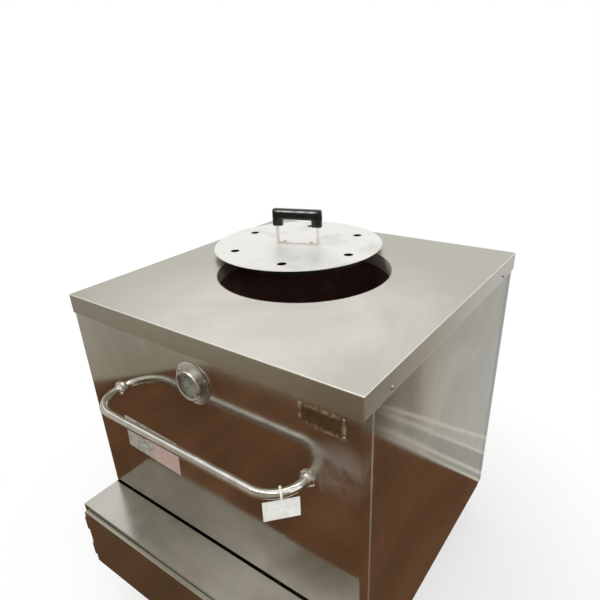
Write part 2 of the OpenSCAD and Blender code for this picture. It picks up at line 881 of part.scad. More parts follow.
module control_knob() {
    in_casing() color(BLACK) translate([knob_x, box_y - play, gas_z]) facing_front() {
        difference() {
            union() {
                cylinder(h = 5, r1 = knob_r, r2 = knob_r - 2);
                translate([0, 0, 5]) cylinder(h = knob_l - 9, r1 = knob_r - 4, r2 = knob_r - 6);
                translate([-4, -knob_r + 5, 5]) cube([8, 2 * knob_r - 10, knob_l - 5]);
            }
            translate([-1, knob_r - 10, knob_l - 1]) cube([2, 12, 2]);
        }
        translate([0, 0, -spindle_in - 3]) cylinder(h = spindle_in + 5, r = spindle_r);
    }
}

// Push handle

module handle_tube() {
    half = handle_span / 2;
    leg = handle_reach - handle_bend;
    in_casing() color(POLISHED) translate([handle_x, -panel_y, handle_z]) {
        for (sx = [-1, 1]) scale([sx, 1, 1]) {
            translate([half, 0, 0]) facing_front() cylinder(h = leg, r = handle_r);
            translate([half - handle_bend, -leg, 0]) rotate([0, 0, -90])
                rotate_extrude(angle = 90, $fn = 96)
                    translate([handle_bend, 0]) circle(r = handle_r, $fn = 48);
        }
        translate([-half + handle_bend, -handle_reach, 0]) rotate([0, 90, 0])
            cylinder(h = 2 * (half - handle_bend), r = handle_r);
    }
}

module handle_sockets() {
    bore_r = handle_r + fit;
    in_casing() color(POLISHED) for (sx = [-1, 1])
        translate([handle_x + sx * handle_span / 2, -panel_y, handle_z]) facing_front()
            rotate_extrude() polygon([
                [bore_r, 0], [socket_r, 0], [socket_r, 3], [socket_r - 2, 4.5], [bore_r + 4, 5.5],
                [bore_r + 3, socket_h - 1], [bore_r + 2, socket_h], [bore_r, socket_h]
            ]);
}

// Thermometer

module in_gauge() {
    in_casing() translate([0, -panel_y, gauge_z]) facing_front() children();
}

module gauge_screw_places() {
    translate([0, -panel_y, gauge_z]) facing_front()
        for (turn = gauge_screw_turns)
            rotate([0, 0, turn]) translate([gauge_screw_ring_r, 0, 0]) children();
}

module thermometer_flange() {
    in_gauge() color(STEEL) difference() {
        rotate_extrude($fn = 96) polygon([
            [stem_r + fit, 0], [gauge_flange_r - 1, 0], [gauge_flange_r, 1],
            [gauge_flange_r - 1, gauge_flange_t], [stem_r + fit, gauge_flange_t]
        ]);
        for (turn = gauge_screw_turns) rotate([0, 0, turn]) translate([gauge_screw_ring_r, 0, -1])
            cylinder(h = gauge_flange_t + 2, r = rivet_r + fit);
    }
}

module thermometer_case() {
    stem_l = panel_y - (neck_r + clay_t) + mouth_y - play;
    in_gauge() color(POLISHED) {
        difference() {
            translate([0, 0, gauge_flange_t]) cylinder(h = gauge_case_h - 3, r = gauge_case_r, $fn = 96);
            translate([0, 0, dial_floor]) cylinder(h = gauge_case_h, r = dial_r + 1, $fn = 96);
        }
        translate([0, 0, -stem_l]) cylinder(h = stem_l + gauge_flange_t + 1, r = stem_r);
        cylinder(h = pointer_up + pointer_t, r = hub_r);
    }
}

module thermometer_bezel() {
    in_gauge() color(POLISHED) translate([0, 0, bezel_up]) rotate_extrude($fn = 96) polygon([
        [dial_r + 1, 0], [bezel_r, 0], [bezel_r, bezel_lip_up], [bezel_r - 1, bezel_lip_up + 1.6],
        [bezel_r - 3, bezel_lip_up + 2], [dial_r - 1, bezel_lip_up + 0.6], [dial_r - 1, bezel_lip_up],
        [dial_r + 1, bezel_lip_up]
    ]);
}

module thermometer_dial() {
    in_gauge() color(WHITE) translate([0, 0, dial_floor]) ring(hub_r + fit, dial_r + 0.6, dial_t);
}

module thermometer_pointer() {
    tip = dial_r - 6;
    in_gauge() color(BLACK) translate([0, 0, pointer_up]) difference() {
        union() {
            cylinder(h = pointer_t, r = 2 * hub_r);
            rotate([0, 0, 225]) linear_extrude(pointer_t)
                polygon([[-7, -1.6], [-7, 1.6], [0, 1.4], [tip, 0.3], [tip, -0.3], [0, -1.4]]);
        }
        translate([0, 0, -1]) cylinder(h = pointer_t + 2, r = hub_r + fit);
    }
}

module thermometer_lens() {
    in_gauge() color([0.8, 0.9, 0.9, 0.35]) translate([0, 0, lens_up])
        cylinder(h = lens_t, r = dial_r + 0.8, $fn = 96);
}

module thermometer_screws() {
    in_casing() color(POLISHED) gauge_screw_places() translate([0, 0, gauge_flange_t])
        pan_screw(head_r = rivet_head_r, head_h = rivet_head_h,
                  shank_r = rivet_r, shank_l = gauge_flange_t + panel_t);
}

// Plates, label and tag

module nameplate_rivet_places() {
    x = nameplate_w / 2 - rivet_inset;
    y = nameplate_h / 2 - rivet_inset;
    translate([nameplate_x, -panel_y, top_z - nameplate_drop]) facing_front()
        for (at = [[-x, y], [x, y], [x, -y]]) translate([at.x, at.y, nameplate_t]) children();
}

module nameplate() {
    in_casing() color(BRASS) difference() {
        translate([nameplate_x, -panel_y, top_z - nameplate_drop]) facing_front()
            linear_extrude(nameplate_t) translate([-nameplate_w / 2, -nameplate_h / 2]) polygon([
                [nameplate_cut * 2, 0], [nameplate_w, 0], [nameplate_w, nameplate_h],
                [0, nameplate_h], [0, nameplate_cut]
            ]);
        nameplate_rivet_places() cylinder(h = 2 * screw_l, r = rivet_r + fit, center = true);
    }
}

module nameplate_rivets() {
    in_casing() color(POLISHED) nameplate_rivet_places()
        pan_screw(head_r = rivet_head_r, head_h = rivet_head_h,
                  shank_r = rivet_r, shank_l = nameplate_t + panel_t);
}

module blank_label() {
    in_casing() color(WHITE) translate([label_x, -panel_y, top_z - label_drop]) facing_front()
        rotate([0, 0, label_turn]) linear_extrude(label_t) translate([-label_w / 2, -label_h / 2])
            round_square([label_w, label_h], 3);
}

module at_tie() {
    in_casing() translate(tie_at) rotate([0, 0, tie_turn]) children();
}

module tag_tie() {
    at_tie() color(WHITE) {
        translate([-tie_w / 2, 0, 0]) rotate([0, 90, 0])
            ring(handle_r + 0.1, handle_r + 0.1 + tie_t, tie_w);
        translate([-tie_w / 2, -3, handle_r + 0.6]) cube([tie_w, 6, 5]);
        translate([-tie_w / 2, -tie_t / 2, -handle_r - 8]) cube([tie_w, tie_t, 8]);
    }
}

module card_tag() {
    at_tie() color(WHITE) translate([-tag_w / 2, -tie_t / 2 - tag_t, -handle_r - 5 - tag_h])
        cube([tag_w, tag_t, tag_h]);
}

// Lid

module on_lid() {
    in_casing() translate([lid_x, lid_y, 0]) children();
}

module lid_screw_places() {
    rotate([0, 0, grip_turn]) for (sx = [-1, 1])
        translate([sx * lid_screw_x, 0, lid_top_z + strap_t]) children();
}

module lid_disc() {
    on_lid() color(POLISHED) difference() {
        translate([0, 0, lid_z]) cylinder(h = lid_t, r = lid_r, $fn = 180);
        for (i = [0 : 5]) rotate([0, 0, lid_vent_turn + 60 * i])
            translate([lid_vent_ring_r, 0, lid_z - 1]) cylinder(h = lid_t + 2, r = lid_vent_r);
        lid_screw_places() translate([0, 0, -screw_l - strap_t])
            cylinder(h = screw_l + strap_t + 1, r = screw_r + fit);
    }
}

module lid_ring() {
    on_lid() color(POLISHED) translate([0, 0, top_z]) ring(lid_ring_r - lid_ring_t, lid_ring_r, lid_ring_h);
}

module lid_strap() {
    up = grip_up + strap_in;
    on_lid() color(STEEL) difference() {
        rotate([0, 0, grip_turn]) translate([0, 0, lid_top_z]) {
            block([-strap_span / 2, -strap_w / 2, 0], [strap_span / 2, strap_w / 2, strap_t]);
            for (sx = [-1, 1]) translate([sx * (strap_span / 2 - strap_t / 2), 0, up / 2])
                cube([strap_t, strap_w, up], center = true);
        }
        lid_screw_places() translate([0, 0, -strap_t - 1]) cylinder(h = strap_t + 2, r = screw_r + fit);
    }
}

module lid_grip() {
    top = grip_leg_h + grip_bar_h;
    round_r = 7;
    on_lid() color(BLACK) rotate([0, 0, grip_turn]) translate([0, 0, lid_top_z + grip_up]) difference() {
        translate([0, grip_w / 2, 0]) rotate([90, 0, 0]) linear_extrude(grip_w) difference() {
            union() {
                translate([-grip_l / 2, 0]) round_square([grip_l, top], round_r);
                for (sx = [-1, 1]) translate([sx * (grip_l - grip_leg_w) / 2 - grip_leg_w / 2, 0])
                    square([grip_leg_w, round_r]);
            }
            translate([-grip_l / 2 + grip_leg_w, -1]) square([grip_l - 2 * grip_leg_w, grip_leg_h + 1]);
        }
        for (sx = [-1, 1]) translate([sx * (strap_span / 2 - strap_t / 2), 0, strap_in / 2 - 1])
            cube([strap_t + 2 * fit, strap_w + 2 * fit, strap_in + 2 + 2 * fit], center = true);
    }
}

module lid_screws() {
    on_lid() color(POLISHED) lid_screw_places() pan_screw(shank_l = strap_t + lid_t + 2);
}

// Castors

module castor_plates() {
    in_casing() color(GALVANISED) at_corners(castor_x, castor_y) difference() {
        union() {
            translate([-castor_plate_x / 2, -castor_plate_y / 2, base_z - castor_plate_t])
                linear_extrude(castor_plate_t) round_square([castor_plate_x, castor_plate_y], 8);
            translate([0, 0, base_z - castor_plate_t - race_h]) cylinder(h = race_h, r = race_r);
            translate([0, 0, crown_z - play - 1]) cylinder(h = base_z - crown_z, r = kingpin_r);
            translate([0, 0, crown_z - play - 4]) cylinder(h = 4, r = kingpin_r + 4);
        }
        for (x = [-1, 1], y = [-1, 1])
            translate([x * castor_bolt_x / 2, y * castor_bolt_y / 2, base_z - castor_plate_t - 1])
                cylinder(h = castor_plate_t + 2, r = castor_bolt_r + fit);
    }
}

module castor_bolts() {
    nut_h = 6;
    in_casing() color(POLISHED) castor_bolt_places() {
        translate([0, 0, -castor_plate_t])
            cylinder(h = castor_plate_t + frame_t + nut_h + 3, r = castor_bolt_r);
        translate([0, 0, -castor_plate_t - 5]) cylinder(h = 5, r = 7, $fn = 6);
        translate([0, 0, frame_t]) cylinder(h = nut_h, r = 7, $fn = 6);
    }
}

module castor_fork(side) {
    leg_x = wheel_w / 2 + fork_gap;
    in_casing() translate([side.x * castor_x, side.y * castor_y, 0]) color(GALVANISED) {
        difference() {
            union() {
                translate([0, 0, crown_z]) cylinder(h = crown_t, r = crown_r);
                for (sx = [-1, 1]) translate([sx * (leg_x + fork_t / 2) - fork_t / 2, 0, 0])
                    rotate([90, 0, 90]) linear_extrude(fork_t) {
                        polygon([[-16, crown_z + crown_t / 2], [16, crown_z + crown_t / 2],
                                 [trail + axle_boss_r, wheel_r + 2], [trail - axle_boss_r, wheel_r - 2]]);
                        translate([trail, wheel_r]) circle(r = axle_boss_r);
                    }
            }
            translate([0, 0, crown_z - 1]) cylinder(h = crown_t + 2, r = kingpin_r + fit);
            translate([0, trail, wheel_r]) rotate([0, 90, 0])
                cylinder(h = 4 * leg_x, r = axle_r + fit, center = true);
        }
        translate([0, trail, wheel_r]) rotate([0, 90, 0]) {
            cylinder(h = 2 * (leg_x + fork_t), r = axle_r, center = true);
            for (sx = [-1, 1]) translate([0, 0, sx * (leg_x + fork_t + axle_head_t / 2)])
                cylinder(h = axle_head_t, r = axle_head_r, center = true);
        }
    }
}

module castor_wheel(side) {
    half = wheel_w / 2;
    tread_round = 5;
    hub_half = half + fork_gap - play;
    in_casing() translate([side.x * castor_x, side.y * castor_y + trail, wheel_r]) color(IRON)
        rotate([0, 90, 0]) rotate_extrude($fn = 96) polygon([
            [axle_r + fit, -hub_half], [14, -hub_half], [14, -half + 7], [wheel_r - 14, -half + 5],
            [wheel_r - 12, -half], [wheel_r - tread_round, -half], [wheel_r - 1.5, -half + 2],
            [wheel_r, -half + tread_round], [wheel_r, half - tread_round],
            [wheel_r - 1.5, half - 2], [wheel_r - tread_round, half], [wheel_r - 12, half],
            [wheel_r - 14, half - 5], [14, half - 7], [14, hub_half], [axle_r + fit, hub_half]
        ]);
}

module castor_fork_front_left() {
    castor_fork([-1, -1]);
}

module castor_fork_front_right() {
    castor_fork([1, -1]);
}

module castor_fork_rear_left() {
    castor_fork([-1, 1]);
}

module castor_fork_rear_right() {
    castor_fork([1, 1]);
}

module castor_wheel_front_left() {
    castor_wheel([-1, -1]);
}

module castor_wheel_front_right() {
    castor_wheel([1, -1]);
}

module castor_wheel_rear_left() {
    castor_wheel([-1, 1]);
}

module castor_wheel_rear_right() {
    castor_wheel([1, 1]);
}

top_cover();
mouth_collar();
front_panel();
left_panel();
right_panel();
rear_panel();
inner_frame();
base_frame();
base_pan();
hearth_plate();
clay_pot();
rim_gasket();
insulation();
burner();
flame_spreader();
gas_supply_pipe();
gas_valve();
burner_feed_pipe();
igniter();
spark_lead();
thermocouple();
service_box();
door_hinge_pins();
access_door();
door_knob();
control_knob();
igniter_button();
handle_tube();
handle_sockets();
thermometer_flange();
thermometer_case();
thermometer_dial();
thermometer_pointer();
thermometer_lens();
thermometer_bezel();
thermometer_screws();
nameplate();
nameplate_rivets();
blank_label();
tag_tie();
card_tag();
cover_screws();
rear_panel_screws();
lid_disc();
lid_ring();
lid_strap();
lid_grip();
lid_screws();
castor_plates();
castor_bolts();
castor_fork_front_left();
castor_fork_front_right();
castor_fork_rear_left();
castor_fork_rear_right();
castor_wheel_front_left();
castor_wheel_front_right();
castor_wheel_rear_left();
castor_wheel_rear_right();
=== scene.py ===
import json
import math

import bmesh
import bpy
from mathutils import Matrix, Vector


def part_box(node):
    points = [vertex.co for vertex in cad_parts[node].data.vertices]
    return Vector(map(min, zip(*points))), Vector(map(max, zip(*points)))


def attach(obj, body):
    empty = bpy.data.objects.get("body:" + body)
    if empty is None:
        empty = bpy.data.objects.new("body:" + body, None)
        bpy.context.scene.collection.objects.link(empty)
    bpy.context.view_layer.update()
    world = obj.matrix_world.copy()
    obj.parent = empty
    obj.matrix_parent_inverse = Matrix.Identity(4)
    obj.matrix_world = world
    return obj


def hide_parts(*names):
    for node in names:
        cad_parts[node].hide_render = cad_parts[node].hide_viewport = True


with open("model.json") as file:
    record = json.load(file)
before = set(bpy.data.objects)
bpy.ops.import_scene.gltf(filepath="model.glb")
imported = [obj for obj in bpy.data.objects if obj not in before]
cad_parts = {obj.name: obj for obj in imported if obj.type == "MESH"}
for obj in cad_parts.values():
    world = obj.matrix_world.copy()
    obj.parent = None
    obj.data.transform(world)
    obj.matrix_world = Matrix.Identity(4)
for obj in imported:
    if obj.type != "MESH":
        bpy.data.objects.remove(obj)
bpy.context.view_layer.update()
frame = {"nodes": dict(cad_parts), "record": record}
NODES = frame["nodes"]

COVER_LOW, COVER_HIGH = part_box("top_cover")
TOP = Vector(((COVER_LOW.x + COVER_HIGH.x) / 2, (COVER_LOW.y + COVER_HIGH.y) / 2, COVER_HIGH.z))
MIDDLE_Y = TOP.y
CASTORS = ("front_left", "front_right", "rear_left", "rear_right")

# Sizes that the frame doesn't give, in metres and degrees
IGNITER_RIM = 0.003    # the igniter's rim, proud of the service box
GRIP_TURN = 17         # the grip's bar, turned from the oven's width
PLATE_CUT = 0.014      # height of the nameplate's cut corner, which is twice as wide


# Camera

CAMERA_PLACE = (0.72905, -0.99130, 0.44870)    # from the centre of the cover's top
CAMERA_TURN, CAMERA_DOWN, CAMERA_ROLL = 0.647842, 0.451785, -0.0435937    # in radians
CAMERA_LENS, CAMERA_SENSOR = 30.6206, 36       # in millimetres
CAMERA_SHIFT = (-0.0011, 0.0413)


def make_camera():
    """The photograph's camera, aimed by its turn to the left, its dip and its roll."""
    turn, down, roll = CAMERA_TURN, CAMERA_DOWN, CAMERA_ROLL
    ahead = Vector((-math.sin(turn) * math.cos(down), math.cos(turn) * math.cos(down), -math.sin(down)))
    level = Vector((math.cos(turn), math.sin(turn), 0))
    above = level.cross(ahead)
    right = level * math.cos(roll) + above * math.sin(roll)
    up = above * math.cos(roll) - level * math.sin(roll)
    data = bpy.data.cameras.new("camera")
    data.lens = CAMERA_LENS
    data.sensor_width = CAMERA_SENSOR
    data.shift_x, data.shift_y = CAMERA_SHIFT
    camera = bpy.data.objects.new("camera", data)
    camera.matrix_world = Matrix((
        (right.x, up.x, -ahead.x, TOP.x + CAMERA_PLACE[0]),
        (right.y, up.y, -ahead.y, TOP.y + CAMERA_PLACE[1]),
        (right.z, up.z, -ahead.z, TOP.z + CAMERA_PLACE[2]),
        (0, 0, 0, 1),
    ))
    bpy.context.scene.collection.objects.link(camera)
    bpy.context.scene.camera = camera


make_camera()


# Node helpers

def node(tree, kind, inputs=None, **settings):
    """A shader node with its settings, and its inputs given as values or as other nodes' outputs."""
    made = tree.nodes.new("ShaderNode" + kind)
    for name, value in settings.items():
        setattr(made, name, value)
    for name, value in (inputs or {}).items():
        if isinstance(value, bpy.types.NodeSocket):
            tree.links.new(value, made.inputs[name])
        else:
            made.inputs[name].default_value = value
    return made


def maths(tree, operation, first, second=0.0):
    return node(tree, "Math", {0: first, 1: second}, operation=operation).outputs[0]


def times(tree, first, second):
    return maths(tree, "MULTIPLY", first, second)


def plus(tree, first, second):
    return maths(tree, "ADD", first, second)


def minus(tree, first, second):
    return maths(tree, "SUBTRACT", first, second)


def larger(tree, first, second):
    return maths(tree, "MAXIMUM", first, second)


def spread(tree, value, low, high, to_low=0.0, to_high=1.0):
    """The value eased from one range to another."""
    return node(tree, "MapRange", {
        "Value": value, "From Min": low, "From Max": high, "To Min": to_low, "To Max": to_high,
    }, interpolation_type="SMOOTHSTEP").outputs[0]


def blend(tree, mask, first, second):
    """Two colours mixed by a mask."""
    made = node(tree, "Mix", data_type="RGBA")
    for name, value in (("Factor_Float", mask), ("A_Color", first), ("B_Color", second)):
        socket = next(s for s in made.inputs if s.identifier == name)
        if isinstance(value, bpy.types.NodeSocket):
            tree.links.new(value, socket)
        else:
            socket.default_value = value
    return next(s for s in made.outputs if s.identifier == "Result_Color")


def rgb(red, green, blue):
    return (red, green, blue, 1.0)


KINDS = {"float": "NodeSocketFloat", "colour": "NodeSocketColor", "vector": "NodeSocketVector"}


def new_group(name, inputs, outputs):
    """An empty node group with its sockets, and its input and output nodes."""
    tree = bpy.data.node_groups.new(name, "ShaderNodeTree")
    for label, kind, value in inputs:
        socket = tree.interface.new_socket(label, in_out="INPUT", socket_type=KINDS[kind])
        if value is not None:
            socket.default_value = value
    for label, kind in outputs:
        tree.interface.new_socket(label, in_out="OUTPUT", socket_type=KINDS[kind])
    return tree, tree.nodes.new("NodeGroupInput"), tree.nodes.new("NodeGroupOutput")


def split(tree, place):
    """A place's x, y and z."""
    return node(tree, "SeparateXYZ", {0: place}).outputs


def distance(tree, place, point):
    return node(tree, "VectorMath", {0: place, 1: point}, operation="DISTANCE").outputs["Value"]


def stretched(tree, place, stretch):
    return node(tree, "VectorMath", {0: place, 1: stretch}, operation="MULTIPLY").outputs[0]


def noise(tree, place, scale, detail=3.0, rough=0.55, twist=0.0):
    return node(tree, "TexNoise", {
        "Vector": place, "Scale": scale, "Detail": detail, "Roughness": rough, "Distortion": twist,
    }).outputs[0]


# Effects shared by the materials

def make_sheet_group():
    """Rolled and brushed sheet: cloudy smudges, fine grain along one axis, and a slight waviness."""
    tree, start, end = new_group("rolled_sheet", [
        ("Place", "vector", None), ("Grain", "vector", (1, 1, 1)), ("Pale", "colour", rgb(1, 1, 1)),
        ("Dark", "colour", rgb(0, 0, 0)), ("Smudge size", "float", 4.0), ("Smudge from", "float", 0.35),
        ("Smudge to", "float", 0.65), ("Grain depth", "float", 0.1), ("Smooth", "float", 0.2),
        ("Rough", "float", 0.3), ("Wave", "float", 0.5), ("Scratch", "float", 0.1),
    ], [("Colour", "colour"), ("Roughness", "float"), ("Normal", "vector")])
    put = start.outputs
    cloud = noise(tree, put["Place"], put["Smudge size"], 4.0, 0.6, 0.6)
    smudge = node(tree, "MapRange", {
        "Value": cloud, "From Min": put["Smudge from"], "From Max": put["Smudge to"],
    }, interpolation_type="SMOOTHSTEP").outputs[0]
    along = stretched(tree, put["Place"], put["Grain"])
    streak = noise(tree, along, 160.0, 5.0, 0.7)
    broad = noise(tree, along, 32.0, 2.0, 0.5)
    fine = noise(tree, along, 1500.0, 2.0, 0.6)
    lines = plus(tree, times(tree, streak, 0.6), times(tree, broad, 0.4))
    shade = plus(tree, times(tree, minus(tree, lines, 0.5), put["Grain depth"]), smudge)
    colour = blend(tree, node(tree, "Clamp", {"Value": shade}).outputs[0], put["Dark"], put["Pale"])
    scratches = node(tree, "TexVoronoi", {
        "Vector": stretched(tree, put["Place"], (1.0, 1.0, 0.35)), "Scale": 21.0, "Randomness": 1.0,
    }, feature="DISTANCE_TO_EDGE").outputs["Distance"]
    hair = times(tree, maths(tree, "LESS_THAN", scratches, 0.006),
                 maths(tree, "GREATER_THAN", noise(tree, put["Place"], 9.0), 0.6))
    marked = blend(tree, times(tree, hair, put["Scratch"]), colour, rgb(0.9, 0.88, 0.83))
    rough = node(tree, "MapRange", {
        "Value": plus(tree, times(tree, smudge, 0.55), times(tree, lines, 0.45)),
        "To Min": put["Smooth"], "To Max": put["Rough"],
    }).outputs[0]
    wavy = node(tree, "Bump", {
        "Strength": put["Wave"], "Distance": 0.004, "Height": noise(tree, put["Place"], 2.6, 1.0, 0.4),
    }).outputs[0]
    grained = node(tree, "Bump", {
        "Strength": 0.06, "Distance": 0.0004, "Height": plus(tree, fine, streak), "Normal": wavy,
    }).outputs[0]
    tree.links.new(marked, end.inputs["Colour"])
    tree.links.new(rough, end.inputs["Roughness"])
    tree.links.new(grained, end.inputs["Normal"])
    return tree


def make_skin_group():
    """Cast, moulded, sprayed or fired skin: mottled colour, specks, and bumps of one size."""
    tree, start, end = new_group("mottled_skin", [
        ("Place", "vector", None), ("Pale", "colour", rgb(1, 1, 1)), ("Dark", "colour", rgb(0, 0, 0)),
        ("Mottle size", "float", 20.0), ("Bump size", "float", 300.0), ("Bump depth", "float", 0.3),
        ("Smooth", "float", 0.3), ("Rough", "float", 0.5), ("Specks", "float", 0.0),
    ], [("Colour", "colour"), ("Roughness", "float"), ("Normal", "vector")])
    put = start.outputs
    cloud = noise(tree, put["Place"], put["Mottle size"], 5.0, 0.6, 0.4)
    mottle = spread(tree, cloud, 0.33, 0.67)
    grain = noise(tree, put["Place"], put["Bump size"], 4.0, 0.65)
    speck = times(tree, spread(tree, noise(tree, put["Place"], 420.0, 1.0), 0.62, 0.72), put["Specks"])
    mask = minus(tree, mottle, speck)
    colour = blend(tree, node(tree, "Clamp", {"Value": mask}).outputs[0], put["Dark"], put["Pale"])
    rough = node(tree, "MapRange", {
        "Value": grain, "From Min": 0.3, "From Max": 0.7, "To Min": put["Smooth"], "To Max": put["Rough"],
    }).outputs[0]
    normal = node(tree, "Bump", {
        "Strength": put["Bump depth"], "Distance": 0.0008, "Height": grain,
    }).outputs[0]
    tree.links.new(colour, end.inputs["Colour"])
    tree.links.new(rough, end.inputs["Roughness"])
    tree.links.new(normal, end.inputs["Normal"])
    return tree


SHEET = make_sheet_group()
SKIN = make_skin_group()


# Materials

COVER_BEND = 0.0022      # radius of the cover's folds
LIP_REACH = 0.0015       # depth in the sheet at which a lip's painted tone ends
FRONT_REACH = 0.0026     # how wide the painted highlight on the front fold is
THREAD_DEPTH = 0.0009    # height of the gas thread's ridges, and half their pitch


def new_material(name, metallic=0.0, specular=0.5):
    """A material with its Principled shader and the point of the surface that is shaded."""
    made = bpy.data.materials.new(name)
    made.use_nodes = True
    tree = made.node_tree
    shader = tree.nodes["Principled BSDF"]
    shader.inputs["Metallic"].default_value = metallic
    shader.inputs["Specular IOR Level"].default_value = specular
    place = tree.nodes.new("ShaderNodeTexCoord").outputs["Object"]
    return made, tree, shader, place


def wire(tree, shader, effect, colour=None):
    """Links an effect's colour, roughness and normal to the shader."""
    tree.links.new(colour or effect.outputs["Colour"], shader.inputs["Base Color"])
    tree.links.new(effect.outputs["Roughness"], shader.inputs["Roughness"])
    tree.links.new(effect.outputs["Normal"], shader.inputs["Normal"])


def use(tree, effect, place, **values):
    """One of the shared effects, with named inputs."""
    made = node(tree, "Group", node_tree=effect)
    tree.links.new(place, made.inputs["Place"])
    for name, value in values.items():
        label = name.replace("_", " ").capitalize()
        made.inputs[label].default_value = value
    return made


def steel(name, pale, dark, grain=(1, 1, 0.03), **values):
    made, tree, shader, place = new_material(name, metallic=1.0)
    effect = use(tree, SHEET, place, pale=rgb(*pale), dark=rgb(*dark), grain=grain, **values)
    wire(tree, shader, effect)
    return made


def near(tree, value, place, reach):
    """A mask that is 1 where a coordinate lies within reach of a place."""
    gap = maths(tree, "ABSOLUTE", minus(tree, value, place))
    return spread(tree, gap, reach * 0.7, reach, 1.0, 0.0)


def cover_steel():
    """The cover's sheet: a painted sheen, lightest by the front and darker further off, painted shade on
    the front lip, painted light on the right lip and along its foot, and painted highlights along the
    folds.
    """
    made, tree, shader, place = new_material("cover_steel", metallic=1.0)
    effect = use(
        tree, SHEET, place, pale=rgb(0.72, 0.70, 0.64), dark=rgb(0.57, 0.55, 0.49), grain=(0.05, 1, 1),
        smudge_size=3.4, smudge_from=0.3, smudge_to=0.66, grain_depth=0.22, smooth=0.26, rough=0.42,
        wave=0.25, scratch=0.10)
    # Painted sheen: the sheet is painted lightest round a point by the front and darker away from it.
    sheen_centre, sheen_reach, sheen_fade_reach = (0.15, MIDDLE_Y - 0.30, TOP.z), 0.1, 0.58
    x, y, z = split(tree, place)
    off_sheen = spread(tree, distance(tree, place, sheen_centre), sheen_reach, sheen_fade_reach, 0.0, 0.80)
    level = blend(tree, off_sheen, effect.outputs["Colour"], rgb(0.405, 0.395, 0.322))
    # Painted shade darkens the front lip, painted light makes the right lip paler, and a painted highlight
    # runs along the right lip's foot.
    front_lip = near(tree, y, COVER_LOW.y, LIP_REACH)
    right_lip = near(tree, x, COVER_HIGH.x, LIP_REACH)
    front_lip_shaded = blend(tree, times(tree, front_lip, 0.5), level, rgb(0.40, 0.375, 0.31))
    toned = blend(tree, times(tree, right_lip, 0.7), front_lip_shaded, rgb(0.90, 0.885, 0.84))
    lip_foot = near(tree, z, COVER_LOW.z, 0.0030)
    right_lip_foot_lit = blend(tree, times(tree, lip_foot, right_lip), toned, rgb(0.97, 0.96, 0.92))
    # Painted highlights along the top folds, strongest on the front one.
    bend = near(tree, z, COVER_HIGH.z, FRONT_REACH)
    ends = larger(tree, near(tree, x, COVER_HIGH.x, COVER_BEND), near(tree, x, COVER_LOW.x, COVER_BEND))
    side = larger(tree, near(tree, y, COVER_LOW.y, FRONT_REACH), times(tree, ends, 0.3))
    fold_highlight = blend(tree, times(tree, bend, side), right_lip_foot_lit, rgb(0.92, 0.90, 0.84))
    wire(tree, shader, effect, fold_highlight)
    return made


def panel_steel():
    """The casing's sheet: nearly a mirror, with a rougher hem on the sides painted pale as its highlight, a
    dull spot, painted shadow along the rear seams and a greyer painted tone on the strip behind them.
    """
    made, tree, shader, place = new_material("panel_steel", metallic=1.0)
    effect = use(
        tree, SHEET, place, pale=rgb(0.62, 0.59, 0.54), dark=rgb(0.50, 0.48, 0.43), grain=(1, 1, 0.03),
        smudge_size=3.6, smudge_from=0.36, smudge_to=0.66, grain_depth=0.6, smooth=0.05, rough=0.13,
        wave=0.35, scratch=0.10)
    skin_depth, hem_width, seam_behind, seam_reach = 0.003, 0.0024, 0.0025, 0.0062
    x, y, _ = split(tree, place)
    low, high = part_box("right_panel")
    side = maths(tree, "GREATER_THAN", maths(tree, "ABSOLUTE", x), high.x - skin_depth)
    # The front hem of each side is rougher and painted paler as its highlight.
    hem = times(tree, side, near(tree, y, low.y, hem_width))
    # A dark line just behind the sides' rear edges is the painted shadow of the seam, and the strip behind
    # it is painted greyer for the bent flange's different reflection.
    seam = times(tree, side, near(tree, y, high.y + seam_behind, seam_reach))
    strip = times(tree, side, maths(tree, "GREATER_THAN", y, high.y))
    toned = blend(tree, times(tree, strip, 0.5), effect.outputs["Colour"], rgb(0.36, 0.37, 0.38))
    seam_shaded = blend(tree, times(tree, seam, 0.85), toned, rgb(0.06, 0.06, 0.07))
    spot_right, spot_up, spot_core, spot_reach = 0.055, 0.048, 0.02, 0.095
    socket_low, socket_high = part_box("handle_sockets")
    socket_z = (socket_low.z + socket_high.z) / 2
    spot = (socket_high.x + spot_right, socket_high.y, socket_z + spot_up)
    away = spread(tree, distance(tree, place, spot), spot_core, spot_reach, 1.0, 0.0)
    dull = times(tree, away, spread(tree, noise(tree, place, 9.0, 3.0, 0.6), 0.3, 0.6))
    wire(tree, shader, effect, blend(tree, hem, seam_shaded, rgb(0.74, 0.70, 0.62)))
    extra = plus(tree, times(tree, hem, 0.55), times(tree, dull, 0.25))
    tree.links.new(plus(tree, effect.outputs["Roughness"], extra), shader.inputs["Roughness"])
    tree.links.new(spread(tree, dull, 0.0, 1.0, 1.0, 0.88), shader.inputs["Metallic"])
    return made


def dulled_collar():
    """The mouth's collar: sheet made matte by heat, and darkened by soot and by painted shade, most on its
    left and towards its foot.
    """
    made, tree, shader, place = new_material("collar_steel", metallic=0.3)
    effect = use(
        tree, SHEET, place, pale=rgb(0.74, 0.71, 0.63), dark=rgb(0.50, 0.46, 0.39), grain=(1, 1, 0.2),
        smudge_size=9.0, grain_depth=0.4, smooth=0.42, rough=0.6, wave=0.0, scratch=0.0)
    smoke_under, smoke_gone = COVER_HIGH.z - 0.034, COVER_HIGH.z - 0.006
    darkest_x, undarkened_x = -0.1, 0.15
    x, _, z = split(tree, place)
    # The darkening is partly soot and partly painted shade: deepest towards the foot of the hollow and on
    # its unlit left side.
    smoke = spread(tree, z, smoke_under, smoke_gone, 0.4, 0.0)
    left = spread(tree, x, darkest_x, undarkened_x, 0.6, 0.0)
    soot_and_shade = larger(tree, smoke, left)
    wire(tree, shader, effect, blend(tree, soot_and_shade, effect.outputs["Colour"], rgb(0.03, 0.02, 0.015)))
    return made


